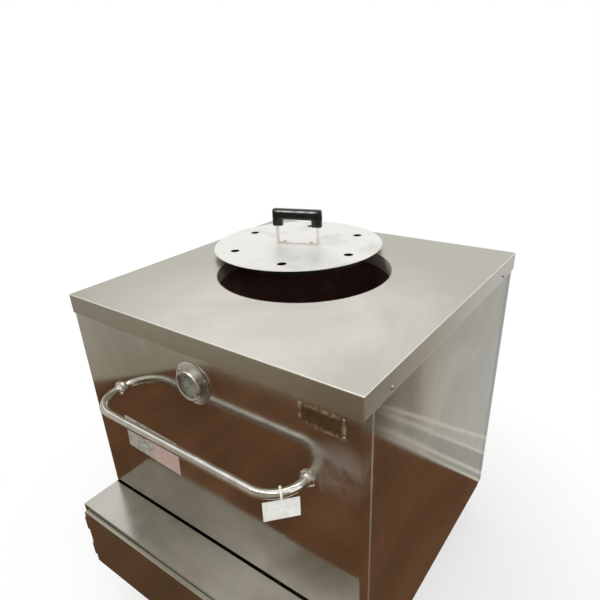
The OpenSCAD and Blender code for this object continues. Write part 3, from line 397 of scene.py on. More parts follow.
def add_coat(shader, weight):
    shader.inputs["Coat Weight"].default_value = weight
    shader.inputs["Coat Roughness"].default_value = 0.04


def skin(name, pale, dark, metallic=0.0, specular=0.5, coat=0.0, **values):
    made, tree, shader, place = new_material(name, metallic, specular)
    add_coat(shader, coat)
    wire(tree, shader, use(tree, SKIN, place, pale=rgb(*pale), dark=rgb(*dark), **values))
    return made


def clay():
    """Unglazed clay, blackened by smoke on its inner face."""
    made, tree, shader, place = new_material("fired_clay", specular=0.2)
    effect = use(tree, SKIN, place, pale=rgb(0.40, 0.24, 0.16), dark=rgb(0.26, 0.14, 0.09),
                 mottle_size=14.0, bump_size=90.0, bump_depth=0.6, smooth=0.8, rough=0.98, specks=0.4)
    low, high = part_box("clay_pot")
    axis = ((low.x + high.x) / 2, (low.y + high.y) / 2, 0)
    offset = node(tree, "VectorMath", {0: place, 1: axis}, operation="SUBTRACT").outputs[0]
    flat = stretched(tree, offset, (1, 1, 0))
    radius = node(tree, "VectorMath", {0: flat}, operation="LENGTH").outputs["Value"]
    outward = node(tree, "VectorMath", {
        0: node(tree, "NewGeometry").outputs["Normal"], 1: flat,
    }, operation="DOT_PRODUCT").outputs["Value"]
    facing = maths(tree, "DIVIDE", outward, radius)
    soot = spread(tree, facing, -0.05, 0.25, 1.0, 0.0)
    patchy = times(tree, soot, spread(tree, noise(tree, place, 12.0), 0.25, 0.5, 0.86, 1.0))
    wire(tree, shader, effect, blend(tree, patchy, effect.outputs["Colour"], rgb(0.085, 0.040, 0.032)))
    return made


def label_film():
    """A blank label: cloudy grey film, pale pink on its right half."""
    made, tree, shader, place = new_material("label_film", specular=0.45)
    low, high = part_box("blank_label")
    x = split(tree, place)[0]
    pink = spread(tree, x, low.x + 0.49 * (high.x - low.x), low.x + 0.51 * (high.x - low.x))
    effect = use(tree, SKIN, place, pale=rgb(0.40, 0.37, 0.32), dark=rgb(0.17, 0.165, 0.15),
                 mottle_size=95.0, bump_size=500.0, bump_depth=0.05, smooth=0.3, rough=0.45)
    rosy = blend(tree, noise(tree, place, 70.0), rgb(0.36, 0.25, 0.21), rgb(0.47, 0.35, 0.31))
    wire(tree, shader, effect, blend(tree, pink, effect.outputs["Colour"], rosy))
    return made


def name_brass():
    """The blank plate: brass worn pale round the edges, under dark varnish in the middle."""
    made, tree, shader, place = new_material("plate_brass", metallic=0.7)
    effect = use(
        tree, SHEET, place, pale=rgb(0.38, 0.29, 0.19), dark=rgb(0.17, 0.10, 0.055), grain=(0.1, 1, 1),
        smudge_size=75.0, smudge_from=0.40, smudge_to=0.60, grain_depth=0.5, smooth=0.3, rough=0.5,
        wave=0.0)
    low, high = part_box("nameplate")
    parts = split(tree, place)
    inset = []
    for axis, first, last in ((0, low.x, high.x), (2, low.z, high.z)):
        from_middle = maths(tree, "ABSOLUTE", minus(tree, parts[axis], (first + last) / 2))
        inset.append(minus(tree, (last - first) / 2, from_middle))
    edge = maths(tree, "MINIMUM", inset[0], inset[1])
    ragged = plus(tree, edge, times(tree, noise(tree, place, 120.0, 4.0, 0.6), 0.010))
    varnish = spread(tree, ragged, 0.009, 0.016, 0.0, 0.92)
    wire(tree, shader, effect, blend(tree, varnish, effect.outputs["Colour"], rgb(0.095, 0.045, 0.018)))
    return made


def gauge_flange():
    """The thermometer's flange: scuffed sheet, with painted shade darkening its right side."""
    made, tree, shader, place = new_material("flange_steel", metallic=0.7)
    effect = use(
        tree, SHEET, place, pale=rgb(0.66, 0.62, 0.55), dark=rgb(0.44, 0.40, 0.34), grain=(1, 1, 1),
        smudge_size=26.0, smudge_from=0.34, smudge_to=0.66, grain_depth=0.15, smooth=0.3, rough=0.5,
        wave=0.0)
    low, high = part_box("thermometer_flange")
    # Painted shade, growing towards the flange's right edge.
    undarkened_x, shaded_x = low.x + 0.055, high.x - 0.012
    right_shade = spread(tree, split(tree, place)[0], undarkened_x, shaded_x, 0.0, 0.85)
    patchy = times(tree, right_shade, spread(tree, noise(tree, place, 60.0), 0.35, 0.65, 1.0, 0.75))
    wire(tree, shader, effect, blend(tree, patchy, effect.outputs["Colour"], rgb(0.07, 0.055, 0.045)))
    return made


def dial_paint():
    """The dial's aged paint, with the bezel's shadow painted on it, darker towards the top and the left."""
    made, tree, shader, place = new_material("dial_paint", specular=0.3)
    effect = use(tree, SKIN, place, pale=rgb(0.27, 0.25, 0.18), dark=rgb(0.17, 0.155, 0.105),
                 mottle_size=120.0, bump_size=900.0, bump_depth=0.02, smooth=0.5, rough=0.7)
    low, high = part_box("thermometer_dial")
    pale_z, dark_z = (low.z + high.z) / 2 - 0.006, high.z - 0.012
    dark_x, pale_x = low.x + 0.004, low.x + 0.024
    x, _, z = split(tree, place)
    # Painted shadow of the bezel over the top and the left of the dial.
    top_shadow = spread(tree, z, pale_z, dark_z, 0.0, 0.85)
    left_shadow = spread(tree, x, dark_x, pale_x, 0.8, 0.0)
    shade = larger(tree, top_shadow, left_shadow)
    wire(tree, shader, effect, blend(tree, shade, effect.outputs["Colour"], rgb(0.045, 0.033, 0.022)))
    return made


def threaded_zinc():
    """Zinc plate, with a turned thread on the gas inlet behind the rear panel."""
    made, tree, shader, place = new_material("zinc_steel", metallic=1.0)
    effect = use(
        tree, SHEET, place, pale=rgb(0.66, 0.68, 0.70), dark=rgb(0.46, 0.48, 0.49), grain=(1, 1, 1),
        smudge_size=26.0, grain_depth=0.3, smooth=0.28, rough=0.46, wave=0.0)
    y = split(tree, place)[1]
    ridge = maths(tree, "PINGPONG", y, THREAD_DEPTH)
    behind = maths(tree, "GREATER_THAN", y, COVER_HIGH.y + 0.001)
    thread = node(tree, "Bump", {
        "Strength": behind, "Distance": 1.0, "Height": ridge, "Normal": effect.outputs["Normal"],
    }).outputs[0]
    wire(tree, shader, effect)
    tree.links.new(thread, shader.inputs["Normal"])
    return made


def grip_plastic():
    """Glossy black plastic, with pale lines painted along the front and back of the grip's bar as its
    highlights.
    """
    made, tree, shader, place = new_material("grip_plastic", specular=0.25)
    add_coat(shader, 0.3)
    effect = use(tree, SKIN, place, pale=rgb(0.008, 0.008, 0.008), dark=rgb(0.004, 0.004, 0.004),
                 bump_size=220.0, bump_depth=0.03, smooth=0.08, rough=0.16)
    low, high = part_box("lid_grip")
    turn = math.radians(GRIP_TURN)
    middle = node(tree, "VectorMath", {0: place, 1: (low + high) / 2}, operation="SUBTRACT").outputs[0]
    along = node(tree, "VectorMath", {0: middle, 1: (math.cos(turn), math.sin(turn), 0)},
                 operation="DOT_PRODUCT").outputs["Value"]
    z = split(tree, place)[2]
    # The pale lines are painted highlights along the rounded top edge of the bar and, fainter, along its
    # lower edge.
    upper_z, upper_half, lower_z, lower_half = high.z - 0.0062, 0.068, low.z + 0.0128, 0.045
    upper = times(tree, near(tree, z, upper_z, 0.0026), near(tree, along, 0.0, upper_half))
    lower = times(tree, near(tree, z, lower_z, 0.0022), near(tree, along, 0.0, lower_half))
    line = larger(tree, upper, times(tree, lower, 0.45))
    worn = times(tree, line, spread(tree, noise(tree, place, 60.0), 0.3, 0.55, 0.5, 1.0))
    wire(tree, shader, effect, blend(tree, worn, effect.outputs["Colour"], rgb(0.46, 0.46, 0.45)))
    return made


def lens_glass():
    made, tree, shader, place = new_material("clear_glass")
    shader.inputs["Base Color"].default_value = rgb(0.97, 0.99, 0.98)
    shader.inputs["Transmission Weight"].default_value = 1.0
    shader.inputs["IOR"].default_value = 1.3
    rough = spread(tree, noise(tree, place, 160.0), 0.4, 0.7, 0.0, 0.05)
    tree.links.new(rough, shader.inputs["Roughness"])
    return made


LOOKS = {
    "cover_steel": cover_steel(),
    "panel_steel": panel_steel(),
    "lid_steel": steel(
        "lid_steel", (0.87, 0.86, 0.82), (0.73, 0.72, 0.675), grain=(0.06, 1, 1), smudge_size=7.0,
        smudge_from=0.30, smudge_to=0.52, grain_depth=0.25, smooth=0.42, rough=0.54, wave=0.2, scratch=0.1),
    "polished_steel": steel(
        "polished_steel", (0.84, 0.83, 0.80), (0.66, 0.64, 0.60), grain=(1, 1, 1), smudge_size=18.0,
        grain_depth=0.2, smooth=0.04, rough=0.11, wave=0.0, scratch=0.0),
    "screw_steel": steel(
        "screw_steel", (0.56, 0.53, 0.48), (0.34, 0.32, 0.28), grain=(1, 1, 1), smudge_size=220.0,
        grain_depth=0.4, smooth=0.28, rough=0.42, wave=0.0, scratch=0.0),
    "zinc_steel": threaded_zinc(),
    "black_steel": skin("black_steel", (0.035, 0.035, 0.036), (0.02, 0.02, 0.021), bump_size=900.0,
                        bump_depth=0.15, smooth=0.35, rough=0.55),
    "fired_clay": clay(),
    "cast_iron": skin("cast_iron", (0.13, 0.125, 0.12), (0.06, 0.055, 0.05), metallic=0.6, bump_size=260.0,
                      bump_depth=0.6, smooth=0.55, rough=0.8, specks=0.4),
    "brass": steel("brass", (0.80, 0.60, 0.28), (0.58, 0.40, 0.16), grain=(1, 1, 1), smudge_size=40.0,
                   grain_depth=0.3, smooth=0.2, rough=0.36, wave=0.0, scratch=0.0),
    "plate_brass": name_brass(),
    "mineral_wool": skin("mineral_wool", (0.80, 0.74, 0.55), (0.58, 0.51, 0.34), mottle_size=40.0,
                         bump_size=500.0, bump_depth=1.0, smooth=0.9, rough=1.0, specks=0.5, specular=0.1),
    "black_plastic": skin("black_plastic", (0.008, 0.008, 0.008), (0.004, 0.004, 0.004), coat=0.3,
                          specular=0.25, bump_size=220.0, bump_depth=0.03, smooth=0.08, rough=0.16),
    "red_plastic": skin("red_plastic", (0.50, 0.03, 0.025), (0.38, 0.02, 0.02), bump_size=400.0,
                        bump_depth=0.05, smooth=0.2, rough=0.35),
    "white_plastic": skin("white_plastic", (0.84, 0.84, 0.80), (0.74, 0.74, 0.70), bump_size=500.0,
                          bump_depth=0.08, smooth=0.35, rough=0.5),
    "label_film": label_film(),
    "tag_card": skin("tag_card", (0.84, 0.84, 0.81), (0.72, 0.72, 0.69), mottle_size=50.0, bump_size=900.0,
                     bump_depth=0.3, smooth=0.75, rough=0.95, specular=0.2),
    "clear_glass": lens_glass(),
    "tyre_rubber": skin("tyre_rubber", (0.05, 0.05, 0.052), (0.025, 0.025, 0.027), bump_size=600.0,
                        bump_depth=0.3, smooth=0.6, rough=0.85, specks=0.3),
}
SLOTS = {part["node"]: part["material_slot"] for part in frame["record"]["subparts"]}
NODE_LOOKS = {name: LOOKS[slot] for name, slot in SLOTS.items()}
NODE_LOOKS["mouth_collar"] = dulled_collar()
NODE_LOOKS["thermometer_flange"] = gauge_flange()
NODE_LOOKS["thermometer_dial"] = dial_paint()
NODE_LOOKS["lid_strap"] = LOOKS["lid_steel"]
NODE_LOOKS["lid_grip"] = grip_plastic()
# The ring under the lid is painted nearly black, as painted shade in the gap between the lid and the cover.
NODE_LOOKS["lid_ring"] = steel(
    "painted_shade_ring", (0.075, 0.07, 0.06), (0.035, 0.032, 0.028), grain=(1, 1, 0.2), smudge_size=14.0,
    grain_depth=0.3, smooth=0.4, rough=0.55, wave=0.0, scratch=0.0)
NODE_LOOKS["service_box"] = steel(
    "ledge_steel", (0.56, 0.545, 0.505), (0.46, 0.445, 0.405), smudge_size=4.0, smudge_from=0.36,
    smudge_to=0.66, grain_depth=0.5, smooth=0.14, rough=0.26, wave=0.3)
for name in ("cover_screws", "rear_panel_screws", "lid_screws", "nameplate_rivets", "thermometer_screws"):
    NODE_LOOKS[name] = LOOKS["screw_steel"]
for name, look in NODE_LOOKS.items():
    NODES[name].data.materials.clear()
    NODES[name].data.materials.append(look)
BODIES = {name: body for body, names in frame["record"]["behaviour"]["bodies"].items() for name in names}


# Pieces that stand for CAD nodes

def flat_copy(name):
    """A merged copy of a CAD node's mesh, with its coplanar triangles joined."""
    mesh = bmesh.new()
    mesh.from_mesh(NODES[name].data)
    bmesh.ops.remove_doubles(mesh, verts=mesh.verts[:], dist=1e-6)
    bmesh.ops.dissolve_limit(
        mesh, angle_limit=math.radians(0.4), verts=mesh.verts[:], edges=mesh.edges[:])
    bmesh.ops.recalc_face_normals(mesh, faces=mesh.faces[:])
    return mesh


def round_edges(mesh, edges, width, segments, clamp=True):
    bmesh.ops.bevel(
        mesh, geom=edges, offset=width, offset_type="OFFSET", segments=segments, profile=0.5,
        affect="EDGES", clamp_overlap=clamp, material=-1)


def soften(mesh, width, where=None, least=40, segments=3):
    """Rounds the outer and inner corners of at least so many degrees that the test picks."""
    edges = []
    for edge in mesh.edges:
        if len(edge.link_faces) != 2 or edge.calc_face_angle() < math.radians(least):
            continue
        if where is None or where(edge.verts[0].co, edge.verts[1].co):
            edges.append(edge)
    round_edges(mesh, edges, width, segments)


def shaped(name, mesh, smooth=35):
    """A mesh object from finished geometry, smooth but for its sharp edges."""
    bmesh.ops.triangulate(mesh, faces=[face for face in mesh.faces if len(face.verts) > 4])
    for face in mesh.faces:
        face.smooth = True
    data = bpy.data.meshes.new(name)
    mesh.to_mesh(data)
    mesh.free()
    data.set_sharp_from_angle(angle=math.radians(smooth))
    piece = bpy.data.objects.new(name, data)
    bpy.context.scene.collection.objects.link(piece)
    weighted = piece.modifiers.new("weighted", "WEIGHTED_NORMAL")
    weighted.keep_sharp = True
    return piece


def stand_in(piece_name, mesh, name, smooth=35):
    """A piece that takes the place of a CAD node, with its body and its material."""
    piece = shaped(piece_name, mesh, smooth)
    piece.data.materials.append(NODE_LOOKS[name])
    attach(piece, BODIES[name])
    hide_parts(name)


def softened(piece_name, name, width, where=None, least=40, segments=3):
    """A stand-in whose corners are rounded and that is otherwise as the CAD node is."""
    mesh = flat_copy(name)
    soften(mesh, width, where, least, segments)
    stand_in(piece_name, mesh, name)


def on_outline(name, slack=0.0002):
    """Tests an edge for lying on the outer faces of a node's box, on two of them at once."""
    low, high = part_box(name)

    def test(first, second):
        shared = 0
        for i in range(3):
            for face in (low[i], high[i]):
                if abs(first[i] - face) < slack and abs(second[i] - face) < slack:
                    shared += 1
        return shared >= 2
    return test


# Radii of the folds in the other sheets, and of the edge round the cover's hole
PANEL_BENDS = {"front_panel": 0.003, "rear_panel": 0.003, "left_panel": 0.0011, "right_panel": 0.0011}
BOX_BENDS = {"service_box": 0.0016, "access_door": 0.0012}
HOLE_EDGE = 0.0005


def make_sheet_pieces():
    """The folded sheets, with the bend radius of a press brake on their outer corners."""
    mesh = flat_copy("top_cover")
    soften(mesh, COVER_BEND, on_outline("top_cover"), segments=4)
    hole = [edge for edge in mesh.edges if len(edge.link_faces) == 2 and edge.calc_face_angle() > 1.2
            and all(abs(vert.co.z - COVER_HIGH.z) < 1e-5 for vert in edge.verts)]
    round_edges(mesh, hole, HOLE_EDGE, segments=2)
    stand_in("cover_sheet", mesh, "top_cover")
    for name, bend in PANEL_BENDS.items():
        softened(name + "_sheet", name, bend, on_outline(name), segments=4)
    for name, bend in BOX_BENDS.items():
        softened(name + "_sheet", name, bend, on_outline(name))


make_sheet_pieces()


LEVEL_SLACK = 1e-4    # how far apart points of one level may lie


def grip_side(mesh):
    """The direction that the grip's largest upright face looks in."""
    upright = [face for face in mesh.faces if abs(face.normal.z) < 0.1]
    return max(upright, key=lambda face: face.calc_area()).normal.copy()


def round_grip(mesh, width):
    """Rounds the outline of the grip's front and back faces, but for the ends of its legs."""
    across = grip_side(mesh)
    reach = [vert.co.dot(across) for vert in mesh.verts]
    lowest = min(vert.co.z for vert in mesh.verts)
    edges = []
    for edge in mesh.edges:
        if len(edge.link_faces) != 2 or all(vert.co.z < lowest + LEVEL_SLACK for vert in edge.verts):
            continue
        facing = sorted(abs(face.normal.dot(across)) for face in edge.link_faces)
        places = [vert.co.dot(across) for vert in edge.verts]
        on_back = all(place < min(reach) + LEVEL_SLACK for place in places)
        on_front = all(place > max(reach) - LEVEL_SLACK for place in places)
        if (on_back or on_front) and facing[0] < 0.3 and facing[1] > 0.9:
            edges.append(edge)
    round_edges(mesh, edges, width, segments=6, clamp=False)


def fill_grip(mesh, deeper, longer, wider):
    """Deepens the grip's bar from below, and makes its two legs longer and wider inwards."""
    kept_end, kept_top = 0.020, 0.008    # what stays as it is, at each end and under the top
    across = grip_side(mesh)
    along = Vector((-across.y, across.x, 0)).normalized()
    reach = [vert.co.dot(along) for vert in mesh.verts]
    middle, half = (min(reach) + max(reach)) / 2, (max(reach) - min(reach)) / 2
    levels = [vert.co.z for vert in mesh.verts]
    lowest, highest = min(levels), max(levels)
    for vert in mesh.verts:
        side = vert.co.dot(along) - middle
        inside = abs(side) < half - kept_end
        if vert.co.z < lowest + LEVEL_SLACK:
            vert.co.z -= longer
        elif inside and vert.co.z < highest - kept_top:
            vert.co.z -= deeper
        if inside:
            vert.co -= along * math.copysign(wider, side)


def make_lid_pieces():
    softened("lid_plate", "lid_disc", 0.0004, segments=2)
    mesh = flat_copy("lid_grip")
    fill_grip(mesh, deeper=0.010, longer=0.006, wider=0.004)
    round_grip(mesh, width=0.009)
    stand_in("lid_grip_bar", mesh, "lid_grip", smooth=50)
    softened("lid_strap_bent", "lid_strap", 0.0008, least=60)


make_lid_pieces()


def make_castor_pieces():
    for place in CASTORS:
        fork, wheel = "castor_fork_" + place, "castor_wheel_" + place
        softened(fork + "_pressed", fork, 0.0007, least=50, segments=2)
        softened(wheel + "_moulded", wheel, 0.0012, least=50)


make_castor_pieces()
softened("control_knob_moulded", "control_knob", 0.0007, least=50, segments=2)


def make_plate_rim():
    """A thin raised rim along the edge of the blank plate, across its cut corner too."""
    margin, width, raised, height = 0.0003, 0.0011, 0.0003, 0.0004
    low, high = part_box("nameplate")
    middle = (low + high) / 2
    place = (Matrix.Translation((middle.x, low.y - raised, middle.z))
             @ Matrix.Rotation(math.radians(90), 4, "X")
             @ Matrix.Diagonal((high.x - low.x, high.z - low.z, 1, 1)))
    mesh = bmesh.new()
    bmesh.ops.create_grid(mesh, x_segments=1, y_segments=1, size=0.5, matrix=place)
    bmesh.ops.bisect_plane(
        mesh, geom=mesh.verts[:] + mesh.edges[:] + mesh.faces[:], dist=1e-7, clear_outer=True,
        plane_co=(low.x, low.y, low.z + PLATE_CUT), plane_no=(-PLATE_CUT, 0, -PLATE_CUT * 2))
    edge = bmesh.ops.inset_region(
        mesh, faces=mesh.faces[:], thickness=margin, use_even_offset=True, use_boundary=True)
    bmesh.ops.delete(mesh, geom=edge["faces"], context="FACES")
    rim = bmesh.ops.inset_region(
        mesh, faces=mesh.faces[:], thickness=width, use_even_offset=True, use_boundary=True)
    inner = [face for face in mesh.faces if face not in rim["faces"]]
    bmesh.ops.delete(mesh, geom=inner, context="FACES")
    bmesh.ops.solidify(mesh, geom=mesh.faces[:], thickness=height)
    bmesh.ops.recalc_face_normals(mesh, faces=mesh.faces[:])
    piece = shaped("nameplate_rim", mesh)
    piece.data.materials.append(NODE_LOOKS["nameplate"])
    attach(piece, BODIES["nameplate"])


make_plate_rim()


# Printed marks

INK = 0.00012    # how thick the marks stand
NUMBER_SIZE = 0.0050
DIAL_START, DIAL_SWEEP, DIAL_STEPS = 225, 270, 50    # degrees, degrees, and how many steps
KNOB_START, KNOB_STEP, KNOB_MARKS = 90, 15, 13       # degrees, degrees, and how many marks


def add_mark(mesh, middle, turn, radius, length, width):
    """A raised ink mark that points away from the middle of a dial on a front face."""
    place = (Matrix.Translation(middle) @ Matrix.Rotation(-turn, 4, "Y")
             @ Matrix.Translation((radius, 0, 0)) @ Matrix.Diagonal((length, INK, width, 1)))
    bmesh.ops.create_cube(mesh, size=1.0, matrix=place)


def print_marks(name, mesh, words=()):
    """Joins marks and numbers into one piece, printed in black on the casing."""
    for text, centre in words:
        curve = bpy.data.curves.new(name + "_text", "FONT")
        curve.body = text
        curve.size = NUMBER_SIZE
        curve.extrude = 0.00003
        curve.resolution_u = 3
        curve.align_x = "CENTER"
        curve.align_y = "CENTER"
        held = bpy.data.objects.new(name + "_text", curve)
        bpy.context.scene.collection.objects.link(held)
        bpy.context.view_layer.update()
        glyphs = bpy.data.meshes.new_from_object(held.evaluated_get(bpy.context.evaluated_depsgraph_get()))
        glyphs.transform(Matrix.Translation(centre) @ Matrix.Rotation(math.radians(90), 4, "X"))
        mesh.from_mesh(glyphs)
        bpy.data.objects.remove(held)
        bpy.data.curves.remove(curve)
    bmesh.ops.recalc_face_normals(mesh, faces=mesh.faces[:])
    data = bpy.data.meshes.new(name)
    mesh.to_mesh(data)
    mesh.free()
    data.materials.append(LOOKS["black_plastic"])
    piece = bpy.data.objects.new(name, data)
    bpy.context.scene.collection.objects.link(piece)
    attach(piece, "casing")


def make_dial_marks():
    """The thermometer's scale, round three quarters of a turn."""
    low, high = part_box("thermometer_dial")
    middle = Vector(((low.x + high.x) / 2, low.y, (low.z + high.z) / 2))
    reach = (high.x - low.x) / 2
    margin, number_margin, number_raised = 0.0022, 0.0112, 0.00004
    mesh = bmesh.new()
    words = []
    for i in range(DIAL_STEPS + 1):
        turn = math.radians(DIAL_START - DIAL_SWEEP * i / DIAL_STEPS)
        numbered = i % 10 == 0
        length = 0.0046 if numbered else (0.0034 if i % 5 == 0 else 0.0020)
        width = 0.0008 if numbered else 0.0004
        add_mark(mesh, middle, turn, reach - margin - length / 2, length, width)
        if numbered:
            out = Vector((math.cos(turn), 0, math.sin(turn)))
            centre = middle + out * (reach - number_margin) - Vector((0, number_raised, 0))
            words.append((str(i * 10), centre))
    print_marks("dial_scale", mesh, words)


make_dial_marks()


def make_knob_marks():
    """A fan of plain marks round the control knob, from closed to full flame."""
    low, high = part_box("control_knob")
    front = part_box("igniter")[0].y + IGNITER_RIM
    middle = Vector(((low.x + high.x) / 2, front, (low.z + high.z) / 2))
    reach = (high.x - low.x) / 2
    mesh = bmesh.new()
    margin, width, shortest, growth = 0.004, 0.0014, 0.002, 0.0005
    for i in range(KNOB_MARKS):
        length = shortest + growth * i
        turn = math.radians(KNOB_START + KNOB_STEP * i)
        add_mark(mesh, middle, turn, reach + margin + length / 2, length, width)
    print_marks("knob_scale", mesh)


make_knob_marks()


# Floor, room cards and light

FLOOR_SIZE = 60
FADE_FROM, FADE_TO = 0.5, 1.25     # where the floor begins to run out into white, and is white
LAMP_WHITE = rgb(1.0, 0.99, 0.96)


def flat_sheet(name, centre, width, height, turn, tilt, look):
    """A flat stage sheet: level at tilt 0, upright at tilt 90, and turned about the vertical."""
    place = (Matrix.Translation(centre) @ Matrix.Rotation(math.radians(turn), 4, "Z")
             @ Matrix.Rotation(math.radians(tilt), 4, "X") @ Matrix.Diagonal((width, height, 1, 1)))
    mesh = bmesh.new()
    bmesh.ops.create_grid(mesh, x_segments=1, y_segments=1, size=0.5, matrix=place)
    data = bpy.data.meshes.new(name)
    mesh.to_mesh(data)
    mesh.free()
    data.materials.append(look)
    piece = bpy.data.objects.new(name, data)
    bpy.context.scene.collection.objects.link(piece)
    return piece


def make_floor():
    """A pale floor that runs out into white for the camera and keeps the object's shadow."""
    look = bpy.data.materials.new("pale_floor")
    look.use_nodes = True
    tree = look.node_tree
    tree.nodes.clear()
    place = tree.nodes.new("ShaderNodeTexCoord").outputs["Object"]
    away = node(tree, "VectorMath", {0: place}, operation="LENGTH").outputs["Value"]
    paint = node(tree, "BsdfDiffuse", {"Color": rgb(0.90, 0.90, 0.90)}).outputs[0]
    white = node(tree, "Emission", {"Color": rgb(1, 1, 1), "Strength": 1.0}).outputs[0]
    seen = node(tree, "LightPath").outputs["Is Camera Ray"]
    share = times(tree, seen, spread(tree, away, FADE_FROM, FADE_TO, 0.6, 1.0))
    mixed = node(tree, "MixShader", {0: share, 1: paint, 2: white}).outputs[0]
    tree.links.new(mixed, node(tree, "OutputMaterial").inputs["Surface"])
    floor = flat_sheet("floor", (0, 0, 0), FLOOR_SIZE, FLOOR_SIZE, 0, 0, look)
    floor.visible_glossy = False


def card_look(name, build, strength=1.0):
    """A glowing material, clear from behind, whose colour comes from a function of the place."""
    look = bpy.data.materials.new(name)
    look.use_nodes = True
    tree = look.node_tree
    tree.nodes.clear()
    place = tree.nodes.new("ShaderNodeTexCoord").outputs["Object"]
    glow = node(tree, "Emission", {"Color": build(tree, place), "Strength": strength}).outputs[0]
    clear = node(tree, "BsdfTransparent").outputs[0]
    behind = node(tree, "NewGeometry").outputs["Backfacing"]
    shown = node(tree, "MixShader", {0: behind, 1: glow, 2: clear}).outputs[0]
    tree.links.new(shown, node(tree, "OutputMaterial").inputs["Surface"])
    return look


def card(name, centre, width, height, turn, tilt, look):
    """A card that only shows as a reflection in the metal, placed from the middle of the cover's depth."""
    place = (centre[0], MIDDLE_Y + centre[1], centre[2])
    piece = flat_sheet(name, place, width, height, turn, tilt, look)
    piece.visible_camera = False
    piece.visible_diffuse = False
    piece.visible_transmission = False
    piece.visible_shadow = False
    piece.visible_volume_scatter = False


def planks(tree, place):
    boards = noise(tree, stretched(tree, place, (6.0, 0.5, 1.0)), 1.0)
    return blend(tree, spread(tree, boards, 0.3, 0.7), rgb(0.118, 0.061, 0.032), rgb(0.182, 0.092, 0.048))


def front_wall(tree, place):
    """A warm grey wall, paler on the left and upwards, and bright above the camera."""
    left_x, near_x, pale_z, bright_from, bright_to = -1.2, -0.3, 0.5, 1.95, 2.15
    x, _, z = split(tree, place)
    left = spread(tree, x, left_x, near_x, 1.0, 0.0)
    rise = spread(tree, z, 0.0, pale_z)
    near_tone = blend(tree, rise, rgb(0.27, 0.235, 0.175), rgb(0.38, 0.345, 0.28))
    left_tone = blend(tree, rise, rgb(0.37, 0.345, 0.28), rgb(0.47, 0.45, 0.40))
    toned = blend(tree, left, near_tone, left_tone)
    return blend(tree, spread(tree, z, bright_from, bright_to), toned, LAMP_WHITE)


def stripe(tree, value, reach):
    """A mask that is 1 within reach of 0 and gone at twice that."""
    return spread(tree, maths(tree, "ABSOLUTE", value), reach, reach * 2, 1.0, 0.0)


def rear_wall(tree, place):
    """A grey wall with streaks, a darker lower part, two sloping rails, a skirting and a corner."""
    right_from, corner_x, dark_from, dark_to = 0.45, 0.695, 0.76, 0.91
    dado_z, high_rail_z, middle_rail_z, skirting_z, foot_z = 0.13, 0.202, 0.136, 0.045, 0.008
    x, _, z = split(tree, place)
    far_tone = blend(tree, spread(tree, x, right_from, 0.70), rgb(0.535, 0.54, 0.525),
                     rgb(0.46, 0.425, 0.36))
    streak = noise(tree, stretched(tree, place, (1.0, 1.0, 0.04)), 26.0, 3.0, 0.6)
    light = blend(tree, spread(tree, streak, 0.35, 0.65, 0.0, 0.35), far_tone, rgb(0.70, 0.69, 0.65))
    corner = spread(tree, x, corner_x, corner_x + 0.007)
    wall = blend(tree, corner, light, rgb(0.31, 0.275, 0.22))
    dado = times(tree, spread(tree, z, dado_z, dado_z + 0.005, 1.0, 0.0), 0.6)
    lower = blend(tree, dado, wall, rgb(0.36, 0.35, 0.31))
    beside = minus(tree, x, right_from)
    over_high = minus(tree, z, minus(tree, high_rail_z, times(tree, beside, 0.12)))
    over_middle = minus(tree, z, minus(tree, middle_rail_z, times(tree, beside, 0.03)))
    rails = larger(tree, stripe(tree, over_high, 0.005), stripe(tree, over_middle, 0.0045))
    skirting = larger(tree, stripe(tree, minus(tree, z, skirting_z), 0.006),
                      stripe(tree, minus(tree, z, foot_z), 0.004))
    trim = times(tree, larger(tree, rails, skirting), 0.75)
    lined = blend(tree, trim, lower, rgb(0.78, 0.76, 0.69))
    return blend(tree, spread(tree, x, dark_from, dark_to, 0.0, 0.85), lined, rgb(0.12, 0.095, 0.07))


def lamp_glow(tree, place):
    """One colour all over."""
    return LAMP_WHITE


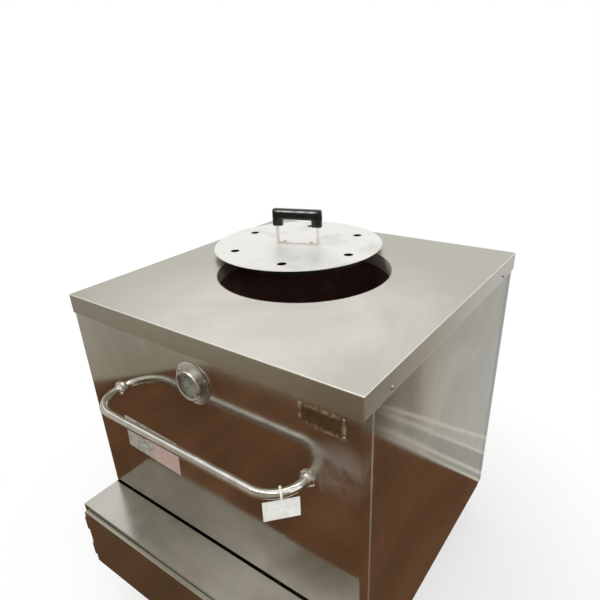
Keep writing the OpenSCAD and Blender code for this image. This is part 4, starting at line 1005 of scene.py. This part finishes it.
def make_room_cards():
    """The room that the steel mirrors: a brown floor, grey walls and a long lamp."""
    tall, low = 2.8, 0.905
    card("room_floor", centre=(0.5, 0, 0), width=9, height=8, turn=0, tilt=0,
         look=card_look("room_floor", planks))
    front = card_look("room_front", front_wall)
    card("room_front", centre=(1.445, -1.43, tall / 2), width=5.11, height=tall, turn=0, tilt=-90,
         look=front)
    card("room_corner", centre=(-2.155, -0.19, tall / 2), width=3.243, height=tall, turn=-49.9, tilt=-90,
         look=front)
    card("room_lamp", centre=(0.1, -1.25, 2.75), width=1.9, height=0.30, turn=0, tilt=180,
         look=card_look("room_lamp", lamp_glow, strength=5.0))
    card("room_rear", centre=(0.65, 0.549, low / 2), width=2.6, height=low, turn=5.5, tilt=90,
         look=card_look("room_rear", rear_wall))


def make_world():
    """White for the camera, metal and glass, and an even soft light for the rest."""
    world = bpy.data.worlds.new("studio")
    world.use_nodes = True
    tree = world.node_tree
    tree.nodes.clear()
    path = tree.nodes.new("ShaderNodeLightPath").outputs
    shown = larger(tree, path["Is Camera Ray"],
                   larger(tree, path["Is Glossy Ray"], path["Is Transmission Ray"]))
    soft = node(tree, "Background", {"Color": rgb(1.0, 0.99, 0.97), "Strength": 0.72}).outputs[0]
    white = node(tree, "Background", {"Color": rgb(1, 1, 1), "Strength": 1.0}).outputs[0]
    mixed = node(tree, "MixShader", {0: shown, 1: soft, 2: white}).outputs[0]
    tree.links.new(mixed, node(tree, "OutputWorld").inputs["Surface"])
    bpy.context.scene.world = world


def add_lamp(name, place, target, size, power):
    data = bpy.data.lights.new(name, "AREA")
    data.shape = "DISK"
    data.size = size
    data.energy = power
    lamp = bpy.data.objects.new(name, data)
    lamp.location = place
    lamp.rotation_euler = (Vector(target) - Vector(place)).to_track_quat("-Z", "Y").to_euler()
    lamp.visible_glossy = False
    bpy.context.scene.collection.objects.link(lamp)


make_floor()
make_room_cards()
make_world()
add_lamp("key_lamp", place=(-1.6, -2.2, 3.2), target=(0, 0, 0.6), size=1.6, power=60)
add_lamp("fill_lamp", place=(2.6, -1.0, 2.6), target=(0, 0, 0.6), size=2.0, power=25)
bpy.context.scene.view_settings.view_transform = "Standard"
